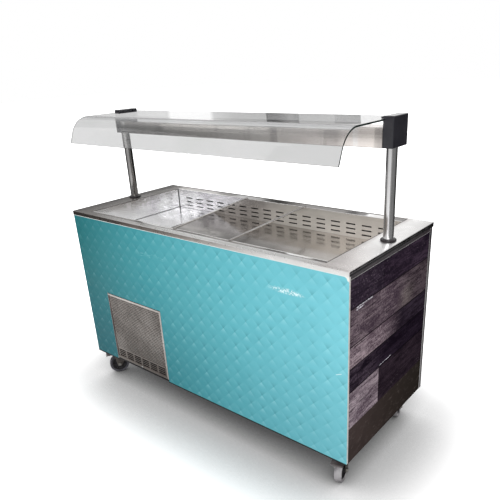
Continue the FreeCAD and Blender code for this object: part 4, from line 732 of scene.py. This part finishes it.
def worktop():
    """One sheet with rolled edges, turned down all round, and the cut-out for the well."""
    low, high = limits("worktop")
    top = high.z
    fold, sheet, corner, least_corner = 2.5, 1.5, 4.0, 0.8
    shape = bmesh.new()

    def cutout(z):
        return rounded(*CUTOUT, 1.0, z)

    def outer(inset, z):
        radius = max(corner - inset, least_corner)
        return rounded(low.x + inset, low.y + inset, high.x - inset, high.y - inset, radius, z)

    loft(shape, [
        cutout(top),
        outer(fold, top),
        outer(fold * 0.62, top - fold * 0.08),
        outer(fold * 0.29, top - fold * 0.29),
        outer(fold * 0.08, top - fold * 0.62),
        outer(0, top - fold),
        outer(0, low.z + 0.4),
        outer(0.4, low.z),
        outer(sheet, low.z),
        outer(sheet, top - fold),
        outer(fold + sheet, top - sheet),
        cutout(top - sheet),
    ])
    add_piece("worktop_sheet", shape, ["worktop_steel"], ["worktop"], angle=25)


def well_trim():
    """Rolled inner edge of both duct flanges, and the thin bead of sealant round the cut-out."""
    front = limits("air_duct_front")[1].y
    rear = limits("air_duct_rear")[0].y
    half, roll, height = 652.5, 1.3, 899.0
    for name, y in (("front", front - 0.9), ("rear", rear + 0.9)):
        shape = bmesh.new()
        angles = [math.radians(degrees) for degrees in range(0, 360, 30)]
        outline = [(y + roll * math.cos(angle), height + roll * math.sin(angle)) for angle in angles]
        prism(shape, outline, -half, half, "X")
        add_piece(f"flange_roll_{name}", shape, ["well_steel"])
    shape = bmesh.new()
    width, over = 1.6, 0.6
    loops = []
    for share, z in ((0, 899.9), (0.3, 900.35), (0.7, 900.35), (1, 899.9), (0.5, 899.6)):
        grown = over - width * share
        low_x, low_y, high_x, high_y = CUTOUT
        loops.append(rounded(low_x - grown, low_y - grown, high_x + grown, high_y + grown, 1.2, z))
    loft(shape, loops)
    add_piece("cutout_sealant", shape, ["sealant"])


def pan_bars():
    """The CAD bars again, with rounded edges."""
    for hand in ("left", "right"):
        name = f"pan_support_bar_{hand}"
        shape = bmesh.new()
        shape.from_mesh(nodes[name].data)
        bmesh.ops.scale(shape, vec=(1 / MM, 1 / MM, 1 / MM), verts=shape.verts)
        bmesh.ops.remove_doubles(shape, verts=shape.verts, dist=0.01)
        bmesh.ops.dissolve_limit(shape, angle_limit=0.01, verts=shape.verts, edges=shape.edges)
        body = f"pan_bar_{hand}"
        add_piece(f"{body}_rounded", shape, ["bar_steel"], [name], body, bevel=0.9, steps=3)


# ---------------------------------------------------------------- cabinet


def front_board():
    """The decor board with its notch for the grille."""
    low, high = limits("front_panel")
    notch_low, notch_high = limits("grille_frame")
    gap = 1.0
    left, right, over = notch_low.x - gap, notch_high.x + 2 * gap, notch_high.z + 3.5 * gap
    outline = [
        (low.x, low.z), (left, low.z), (left, over), (right, over), (right, low.z),
        (high.x, low.z), (high.x, high.z), (low.x, high.z),
    ]
    shape = bmesh.new()
    prism(shape, outline, low.y, high.y, "Y", index=1)
    paint(shape, 0, lambda normal, middle: abs(normal.y) > 0.9 and middle.y < (low.y + high.y) / 2)
    add_piece("front_board", shape, ["front_laminate", "front_edge"], ["front_panel"], bevel=0.5)


def front_edging_and_shade_block():
    """Black edging under the front board, and a dark block below the grille that stands in for the shade there."""
    low, high = limits("front_panel")
    notch_low, notch_high = limits("grille_frame")
    shape = bmesh.new()
    for x0, x1 in ((low.x, notch_low.x - 1), (notch_high.x + 1, high.x)):
        block(shape, (x0, low.y - 0.4, low.z - 2.5), (x1, high.y, low.z + 2.8))
    # a dark block standing in for the shade in the gap below the grille
    block(shape, (notch_low.x - 1, low.y + 4, low.z - 1.2), (notch_high.x + 1, high.y + 3, notch_low.z - 0.2))
    add_piece("front_foot_edging_and_shade_block", shape, ["edging_black"], bevel=0.3)


def end_boards():
    """Boards, plinths and the dark strips of both ends, with broken edges."""
    low, high = limits("end_panels")
    thick, gap, proud = 12, 0.2, 0.8
    low_plinth, high_plinth = limits("plinth_panels")
    low_trim, high_trim = limits("end_trims")
    for hand, near, far in (("left", low.x, low.x + thick), ("right", high.x - thick, high.x)):
        outer = near if hand == "left" else far
        shape = bmesh.new()
        block(shape, (near, low.y, low.z), (far, high.y, high.z), index=1)
        paint(shape, 0, lambda normal, middle: abs(normal.x) > 0.9 and abs(middle.x - outer) < 1)
        board = ["plank_decor", "plank_edge"]
        add_piece(f"end_board_{hand}", shape, board, ["end_panels"], bevel=0.5)
        shape = bmesh.new()
        block(shape, (near, low_plinth.y, low_plinth.z), (far, high_plinth.y, high_plinth.z))
        add_piece(f"plinth_board_{hand}", shape, ["plinth_board"], ["plinth_panels"], bevel=0.8)
        shape = bmesh.new()
        block(shape, (near, low_trim.y, high.z + gap), (far, high.y, high_trim.z))
        block(shape, (near, high.y + gap, low_trim.z), (far, high_trim.y, high_trim.z))
        rib_low, rib_high = (outer - proud, outer) if hand == "left" else (outer, outer + proud)
        block(shape, (rib_low, high.y + 1.5, low_trim.z), (rib_high, high.y + 4.5, high_trim.z), index=1)
        block(shape, (rib_low, high_trim.y - 5, low_trim.z), (rib_high, high_trim.y - 2, high_trim.z), index=1)
        block(shape, (rib_low, low_trim.y + 1, high.z + 0.6), (rib_high, high.y, high.z + 2.4), index=1)
        add_piece(f"end_trim_{hand}", shape, ["dark_trim", "panel_steel"], ["end_trims"], bevel=0.3)


def grille():
    """Frame bars, the perforated sheet with its slits, the dark filter behind it, and the screw."""
    low, high = limits("grille_frame")
    bar, bottom = 8, 12
    shape = bmesh.new()
    back, front, lip = high.y, low.y, 1.2

    def loop(inset, y, down):
        return [
            (low.x + inset, y, low.z + down), (high.x - inset, y, low.z + down),
            (high.x - inset, y, high.z - inset), (low.x + inset, y, high.z - inset),
        ]

    loft(shape, [
        loop(0, back, 0), loop(0, front + lip, 0), loop(lip, front, lip),
        loop(bar - lip, front, bottom - lip), loop(bar, front + lip, bottom), loop(bar, back, bottom),
    ])
    # painted shade: the bottom bar takes a darker copy of the steel and the left bar a darker one still
    paint(shape, 1, lambda normal, middle: middle.z < low.z + bottom + 0.5)
    paint(shape, 2, lambda normal, middle: middle.x < low.x + bar + 0.5)
    bars = ["grille_steel", "grille_dim", "grille_shade"]
    add_piece("grille_frame_bars", shape, bars, ["grille_frame"], bevel=0.3)

    low, high = limits("grille_panel")
    pitch, hole = 8.8, 3.3
    vent = 43.6
    front, back = low.y, low.y + 1.2
    columns = int((high.x - low.x - 4) // pitch)
    rows = int((high.z - low.z - vent - 2) // pitch)
    start_x = (low.x + high.x - columns * pitch) / 2
    start_z = low.z + vent + (high.z - low.z - vent - rows * pitch) / 2
    points, faces = [], []
    corners = ((0, 0), (0.5, 0), (1, 0), (1, 0.5), (1, 1), (0.5, 1), (0, 1), (0, 0.5))
    half_corners = ((0, 0), (1, 0), (1, 0.5), (1, 1), (0, 1), (0, 0.5))
    turns = [math.radians(degrees) for degrees in (225, 270, 315, 0, 45, 90, 135, 180)]
    for row in range(rows):
        shifted = row % 2
        z = start_z + row * pitch
        for column in range(columns - shifted):
            x = start_x + (column + shifted / 2) * pitch
            middle_x, middle_z = x + pitch / 2, z + pitch / 2
            first = len(points)
            points += [(x + a * pitch, front, z + b * pitch) for a, b in corners]
            for y in (front, back):
                points += [(middle_x + hole * math.cos(t), y, middle_z + hole * math.sin(t)) for t in turns]
            for step in range(8):
                after = (step + 1) % 8
                faces.append((first + step, first + after, first + 8 + after, first + 8 + step))
                faces.append((first + 8 + step, first + 8 + after, first + 16 + after, first + 16 + step))
        if shifted:
            for x in (start_x, start_x + (columns - 0.5) * pitch):
                first = len(points)
                points += [(x + a * pitch / 2, front, z + b * pitch) for a, b in half_corners]
                faces.append(tuple(range(first, first + 6)))
    mesh = bpy.data.meshes.new("perforations")
    mesh.from_pydata(points, [], faces)
    shape = bmesh.new()
    shape.from_mesh(mesh)
    bmesh.ops.remove_doubles(shape, verts=shape.verts, dist=0.01)
    edge_low, edge_high = start_x, start_x + columns * pitch
    top_low, top_high = start_z, start_z + rows * pitch

    def face_plate(x0, z0, x1, z1, index=0):
        corners = [(x0, front, z0), (x1, front, z0), (x1, front, z1), (x0, front, z1)]
        face = shape.faces.new([shape.verts.new(corner) for corner in corners])
        face.material_index = index

    face_plate(low.x, top_low, edge_low, top_high)
    face_plate(edge_high, top_low, high.x, top_high)
    face_plate(low.x, top_high, high.x, high.z)
    face_plate(low.x, low.z + vent, high.x, top_low)
    groups, rib, web, slit, row_gap, slit_rows = 6, 11, 3.0, 6.4, 4.0, 4
    width = (high.x - low.x - (groups + 1) * rib) / groups
    heights = [low.z]
    for row in range(slit_rows):
        slit_low = low.z + web + row * (slit + row_gap)
        heights += [slit_low, slit_low + slit]
    heights.append(low.z + vent)
    places = [low.x]
    for index in range(groups):
        x = low.x + rib + index * (width + rib)
        places += [x, x + width]
    places.append(high.x)
    for column, (x0, x1) in enumerate(zip(places, places[1:])):
        for row, (z0, z1) in enumerate(zip(heights, heights[1:])):
            open_here = column % 2 == 1 and row % 2 == 1
            if not open_here:
                face_plate(x0, z0, x1, z1, index=1)
    add_piece("grille_sheet", shape, ["grille_sheet", "grille_dim"], ["grille_panel"])

    shape = bmesh.new()
    block(shape, (low.x + 1, high.y + 0.4, low.z + 1), (high.x - 1, high.y + 2.4, high.z - 1))
    add_piece("grille_filter", shape, ["filter_black"], bevel=0.4)

    low, high = limits("grille_screw")
    middle = (low + high) / 2
    shape = bmesh.new()
    length = high.y - low.y
    turn = Matrix.Translation((middle.x, high.y, middle.z)) @ Matrix.Rotation(math.radians(90), 4, "X")
    head = 4.5
    profile = [
        (0, 0), (2, 0), (2, length - 1.5), (head, length - 1.5), (head * 0.95, length - 0.9),
        (head * 0.7, length - 0.25), (1.6, length), (1.4, length - 0.9), (0, length - 0.9),
    ]
    spin(shape, profile, turn, 32)
    add_piece("grille_screw_head", shape, ["chrome"], ["grille_screw"])


# ---------------------------------------------------------------- gantry


def posts():
    """Both tubes, and a collar ring above and below the sheet round each of them."""
    for hand in ("left", "right"):
        low, high = limits(f"gantry_post_{hand}")
        x, y = (low.x + high.x) / 2, (low.y + high.y) / 2
        outer = (high.x - low.x) / 2
        shape = bmesh.new()
        place = Matrix.Translation((x, y, low.z))
        tall = high.z - low.z
        spin(shape, [(outer - 1.5, 0), (outer, 0), (outer, tall), (outer - 1.5, tall)], place, 96)
        # the left post gets the darker copy of chrome: painted shade
        tube = ["chrome" if hand == "right" else "chrome_dim"]
        add_piece(f"post_{hand}", shape, tube, [f"gantry_post_{hand}"], angle=40)
    outer, inner, tall = 29, 19.05, 8
    ring = [
        (inner, 0), (outer - 0.6, 0), (outer, 0.6), (outer, tall - 4), (outer - 0.8, tall - 2.4),
        (outer - 3.2, tall - 0.7), (outer - 5, tall), (inner, tall),
    ]
    shape = bmesh.new()
    for x in (-716, 716):
        for above_or_below in (900, 890.5):
            spin(shape, ring, Matrix.Translation((x, 20, above_or_below)), 64)
    add_piece("collar_rings", shape, ["collar_dark"], ["post_collars"])


def caps():
    """Glossy black mouldings: a rounded block, and two clips that hold the glass."""
    gloss = ["black_gloss"]
    for hand, side in (("left", -1), ("right", 1)):
        shape = bmesh.new()
        inner = 696 * side
        near, far = sorted((inner, 736 * side))
        block(shape, (near, -15, 1226), (far, 90, 1330))
        add_piece(f"cap_{hand}", shape, gloss, [f"end_cap_{hand}"], bevel=2.5, steps=5)
        shape = bmesh.new()
        near, far = sorted((inner, inner - 8 * side))
        block(shape, (near, -12.5, 1321.2), (far, 0.5, 1327.5))
        block(shape, (near, 62, 1321.2), (far, 72, 1326))
        add_piece(f"cap_clip_{hand}", shape, gloss, bevel=1.4, steps=3)


def beam():
    """The channel between the caps, open below, and the ribbed diffuser in it."""
    low, high = limits("gantry_beam")
    wide, tall = high.y - low.y, high.z - low.z
    sheet, lip, fold = 1.5, 8, 2.2
    folds = ((fold, fold, 270), (fold, tall - fold, 180), (wide - fold, tall - fold, 90), (wide - fold, fold, 0))
    outline = [(lip, 0)]
    for y, z, start in folds:
        angles = [math.radians(start - degrees) for degrees in (0, 30, 60, 90)]
        outline += [(y + fold * math.cos(angle), z + fold * math.sin(angle)) for angle in angles]
    outline += [
        (wide - lip, 0), (wide - lip, sheet), (wide - sheet, sheet), (wide - sheet, tall - sheet),
        (sheet, tall - sheet), (sheet, sheet), (lip, sheet),
    ]
    shape = bmesh.new()
    prism(shape, [(low.y + a, low.z + b) for a, b in outline], low.x, high.x, "X")
    add_piece("beam_channel", shape, ["beam_steel"], ["gantry_beam"], angle=50)
    low, high = limits("lamp_diffuser")
    shape = bmesh.new()
    ribs = 26
    outline = [(low.y, high.z), (low.y, low.z)]
    for step in range(1, ribs):
        y = low.y + (high.y - low.y) * step / ribs
        outline.append((y, low.z + (0.7 if step % 2 else 0.0)))
    outline += [(high.y, low.z), (high.y, high.z)]
    prism(shape, outline, low.x, high.x, "X")
    add_piece("diffuser_strip", shape, ["opal"], ["lamp_diffuser"], angle=60)


def sneeze_glass():
    """One bent sheet: flat on top, then a bend and a short straight drop towards the customer."""
    low, high = limits("sneeze_glass")
    radius, thick, turn, drop = 98, 6, 68, 50
    top = high.z
    bend_y, bend_z = -190, top - radius
    steps = 24

    def side(distance):
        """Points along one face of the glass, distance inside the outer one."""
        points = [(high.y - 0.5, top - distance)]
        for step in range(steps + 1):
            angle = math.radians(turn * step / steps)
            reach = radius - distance
            points.append((bend_y - reach * math.sin(angle), bend_z + reach * math.cos(angle)))
        y, z = points[-1]
        angle = math.radians(turn)
        points.append((y - (drop - 0.5) * math.cos(angle), z - (drop - 0.5) * math.sin(angle)))
        return points

    outer, inner = side(0), side(thick)
    shape = bmesh.new()
    prism(shape, outer + inner[::-1], low.x, high.x, "X")
    paint(shape, 1, lambda normal, middle: abs(normal.x) > 0.9 or middle.y > high.y - 2)
    paint(shape, 1, lambda normal, middle: middle.z < low.z + thick and normal.z < -0.5)
    add_piece("glass_sheet", shape, ["clear_glass", "glass_edge"], ["sneeze_glass"], angle=20)


# ---------------------------------------------------------------- castors


# where each castor turns, and how many degrees it is turned at rest
CASTORS = {
    "front_left": (-685, -218, -122), "front_right": (685, -218, -75),
    "rear_left": (-685, 218, 120), "rear_right": (685, 218, 104),
}


# radius and half width along one side of the wheel
TYRE = [(38, 12.75), (44, 13.8), (46.5, 14.9), (48.3, 14.0), (49.3, 11.8), (50, 8)]
HUB = [
    (5.05, 18.7), (11, 18.7), (12, 17.6), (12, 7), (15, 5.6), (30, 5.6), (33.2, 7.5), (34, 12.2), (37.9, 12.7),
]
TRAIL, WHEEL_HEIGHT = 32, 50


def both_sides(profile):
    """A wheel's profile, down one side and back up the other."""
    return [(radius, -half) for radius, half in profile] + profile[::-1]


def castors():
    """Tyres and spoked hubs; forks, plates and axles are carried over from the CAD."""
    for name, (x, y, degrees) in CASTORS.items():
        turn = Matrix.Rotation(math.radians(degrees), 4, "Z")
        swivel = Matrix.Translation((x, y, 0)) @ turn
        wheel = swivel @ Matrix.Translation((TRAIL, 0, WHEEL_HEIGHT)) @ Matrix.Rotation(math.radians(-90), 4, "X")
        body = f"wheel_{name}"
        shape = bmesh.new()
        spin(shape, both_sides(TYRE), wheel, 72)
        add_piece(f"tyre_{name}", shape, ["tyre_rubber"], [f"castor_tyre_{name}"], body)
        shape = bmesh.new()
        spin(shape, both_sides(HUB), wheel, 72)
        for spoke in range(6):
            for low, high in ((-11, -5), (5, 11)):
                verts = block(shape, (14, -1.2, low), (34.4, 1.2, high))
                spoke_turn = wheel @ Matrix.Rotation(math.radians(60 * spoke), 4, "Z")
                bmesh.ops.transform(shape, matrix=spoke_turn, verts=verts)
        add_piece(f"hub_{name}", shape, ["hub_plastic"], [f"castor_hub_{name}"], body, bevel=0.3)


# ---------------------------------------------------------------- back


def controls():
    """The thermostat's case, its window and its four keys."""
    low, high = limits("thermostat")
    shape = bmesh.new()
    lip = high.y - 3
    block(shape, (low.x + 3, low.y, low.z + 3), (high.x - 3, lip, high.z - 3))
    block(shape, (low.x, lip, low.z), (high.x, high.y, high.z))
    add_piece("thermostat_case", shape, ["panel_black"], ["thermostat"], bevel=0.8)
    shape = bmesh.new()
    middle = (low + high) / 2
    block(shape, (middle.x - 12, high.y - 0.5, middle.z - 9), (middle.x + 22, high.y + 0.6, middle.z + 9))
    add_piece("thermostat_window", shape, ["display_dark"], bevel=0.4)
    shape = bmesh.new()
    for z in (middle.z - 5.5, middle.z + 5.5):
        for x in (middle.x - 29, middle.x - 20):
            block(shape, (x - 3, high.y - 0.5, z - 3.2), (x + 3, high.y + 1.1, z + 3.2))
    add_piece("thermostat_keys", shape, ["hub_plastic"], bevel=0.9, steps=3)


# ---------------------------------------------------------------- build the pieces


worktop()
well_trim()
pan_bars()
front_board()
front_edging_and_shade_block()
end_boards()
grille()
posts()
caps()
beam()
sneeze_glass()
castors()
controls()

# the CAD nodes that are shown as they are, by material
CARRIED_OVER = {
    "tank_steel": ["well_tank"],
    "foam": ["well_insulation"],
    "duct_steel": ["air_duct_rear", "air_duct_front"],
    "well_steel": ["plate_bearers"],
    "base_steel": ["base_plate_left", "base_plate_right"],
    "panel_steel": ["rear_panel"],
    "galvanised": ["chassis_frame", "base_tray"],
    "zinc": ["castor_plates", "castor_bolts"] + [f"castor_axle_{name}" for name in CASTORS],
    "fork_zinc": [f"castor_fork_{name}" for name in CASTORS],
    "pedal_black": ["brake_pedal_front_left", "brake_pedal_front_right"],
    "fin_metal": ["evaporator", "condenser"],
    "machine_black": ["evaporator_motors", "fan_shroud", "compressor"],
    "fan_plastic": ["evaporator_fan_left", "evaporator_fan_right", "condenser_fan"],
    "panel_black": ["control_fascia", "mains_gland"],
    "switch_green": ["power_switch"],
}
for material, carried in CARRIED_OVER.items():
    for name in carried:
        mesh = nodes[name].data
        mesh.materials.clear()
        mesh.materials.append(looks[material])


# ---------------------------------------------------------------- floor, light and camera


def floor():
    """White floor with a soft contact shade; its glow keeps it white round the object."""
    mesh = bpy.data.meshes.new("floor")
    reach = 30
    corners = [(-reach, -reach, 0), (reach, -reach, 0), (reach, reach, 0), (-reach, reach, 0)]
    mesh.from_pydata(corners, [], [(0, 1, 2, 3)])
    made = bpy.data.objects.new("floor", mesh)
    scene.collection.objects.link(made)
    shader = Shader("floor_white", roughness=0.9)
    contact = shader.fill(shader.add("ShaderNodeAmbientOcclusion", samples=8), Distance=0.7, output="AO") ** 1.25
    pale = shader.mix(shader.noise(4, 2, 0.5), (250, 250, 250), (252, 252, 252))
    shader.colour(shader.mix(contact, (0.04, 0.04, 0.04, 1), pale))
    beside = (abs(shader.x) - 0.76).larger(0.0)
    before = (abs(shader.y) - 0.32).larger(0.0)
    away = (beside ** 2.0 + before ** 2.0).math("SQRT")
    strength = contact * 0.27 + away.span(0.04, 0.60, 0, 0.9)
    seen = shader.add("ShaderNodeLightPath").outputs["Is Camera Ray"]
    shader.set("Emission Color", (1, 1, 1, 1))
    shader.set("Emission Strength", shader.math("MULTIPLY", seen, strength))
    mesh.materials.append(looks["floor_white"])


def world():
    """White behind the object, and light grey room light that is a little brighter above."""
    made = bpy.data.worlds.new("studio")
    made.use_nodes = True
    scene.world = made
    sky = Tree(made.node_tree)
    sky.tree.nodes.clear()
    place = sky.add("ShaderNodeTexCoord").outputs["Generated"]
    rise = sky.fill(sky.add("ShaderNodeSeparateXYZ"), place, output="Z")
    room = sky.fill(sky.add("ShaderNodeBackground"), rise.ramp((0.0, (0.62, 0.62, 0.63, 1)), (0.8, 0.84)))
    white = sky.fill(sky.add("ShaderNodeBackground"), (1, 1, 1, 1))
    seen = sky.add("ShaderNodeLightPath").outputs["Is Camera Ray"]
    blend = sky.fill(sky.add("ShaderNodeMixShader"), seen, room, white)
    sky.put(sky.add("ShaderNodeOutputWorld").inputs["Surface"], blend)


def reflection_card(name, distance, low, high, stops):
    """A curved studio card round part of the object that only reflections see; stops are (degrees, grey)."""
    shape = bmesh.new()
    tones = shape.verts.layers.float_color.new("tones")
    rows = []
    for (first, grey), (last, next_grey) in zip(stops, stops[1:]):
        count = max(1, math.ceil((last - first) / 4))
        for step in range(count + 1):
            if step or not rows:
                share = step / count
                rows.append((first + (last - first) * share, grey + (next_grey - grey) * share))
    made = []
    for degrees, grey in rows:
        angle = math.radians(degrees)
        pair = [shape.verts.new((distance * math.cos(angle), distance * math.sin(angle), z)) for z in (low, high)]
        for vertex in pair:
            vertex[tones] = (grey, grey, grey, 1)
        made.append(pair)
    for first, second in zip(made, made[1:]):
        shape.faces.new((first[0], second[0], second[1], first[1]))
    mesh = bpy.data.meshes.new(name)
    shape.to_mesh(mesh)
    shape.free()
    card = bpy.data.objects.new(name, mesh)
    scene.collection.objects.link(card)
    card.visible_camera = card.visible_diffuse = card.visible_shadow = card.visible_transmission = False
    shader = Shader(name)
    colours = shader.add("ShaderNodeVertexColor", layer_name="tones").outputs["Color"]
    glow = shader.fill(shader.add("ShaderNodeEmission"), colours)
    shader.put(shader.tree.nodes["Material Output"].inputs["Surface"], glow)
    mesh.materials.append(looks[name])


def area_light(name, place, target, size, power, mirrored=True):
    data = bpy.data.lights.new(name, "AREA")
    data.shape = "SQUARE"
    data.size = size
    data.energy = power
    lamp = bpy.data.objects.new(name, data)
    lamp.location = place
    lamp.visible_glossy = mirrored
    lamp.rotation_euler = (Vector(target) - Vector(place)).to_track_quat("-Z", "Y").to_euler()
    scene.collection.objects.link(lamp)


def camera():
    """The photograph's own view: where the camera stands, which way it looks, and its framing."""
    yaw, pitch, roll = (math.radians(angle) for angle in (40.39, 22.70, -3.02))
    ahead = Vector((-math.sin(yaw) * math.cos(pitch), math.cos(yaw) * math.cos(pitch), -math.sin(pitch)))
    level = Vector((math.cos(yaw), math.sin(yaw), 0))
    upright = level.cross(ahead)
    right = level * math.cos(roll) + upright * math.sin(roll)
    over = upright * math.cos(roll) - level * math.sin(roll)
    data = bpy.data.cameras.new("camera")
    data.lens = 539.4 / 500 * data.sensor_width
    data.shift_x = (250 - 262.7) / 500
    data.shift_y = (287.2 - 250) / 500
    made = bpy.data.objects.new("camera", data)
    made.matrix_world = Matrix((
        (right.x, over.x, -ahead.x, 1.557),
        (right.y, over.y, -ahead.y, -1.674),
        (right.z, over.z, -ahead.z, 1.512),
        (0, 0, 0, 1),
    ))
    scene.collection.objects.link(made)
    scene.camera = made


floor()
world()
reflection_card("card_left", 3.1, 0.001, 1.25, ((-265, 0.04), (-192, 0.03), (-160, 0.05), (-144, 0.24), (-118, 0.62)))
reflection_card("card_right", 2.9, 0.001, 1.25, (
    (-56, 0.58), (-44, 0.36), (-22, 0.20), (-3, 0.26), (20, 0.13), (42, 0.03), (95, 0.02)))
reflection_card("card_window", 3.1, 1.27, 2.7, ((94, 0.90), (97, 1.10), (109.8, 1.10)))
reflection_card("card_room", 3.1, 1.27, 1.78, (
    (109.9, 0.32), (114.3, 0.36), (114.4, 0.50), (120.5, 0.46), (120.7, 0.18), (122.0, 0.25), (124.3, 0.05),
    (126.3, 0.02), (126.4, 0.45), (131.7, 0.50), (135.5, 0.70), (136.3, 1.25), (143.0, 1.25), (143.6, 0.85),
    (150, 0.80), (165, 0.50)))
reflection_card("card_rear_wall", 3.1, 1.78, 2.7, (
    (109.9, 0.80), (121, 0.74), (130, 0.70), (139, 0.62), (149, 0.48), (165, 0.42)))
area_light("key", (2.6, -3.4, 3.8), (0.0, 0.0, 0.6), 2.6, 100)
area_light("fill", (-3.4, -2.4, 2.6), (0.0, 0.0, 0.6), 2.6, 30, mirrored=False)
camera()
scene.view_settings.view_transform = "Standard"
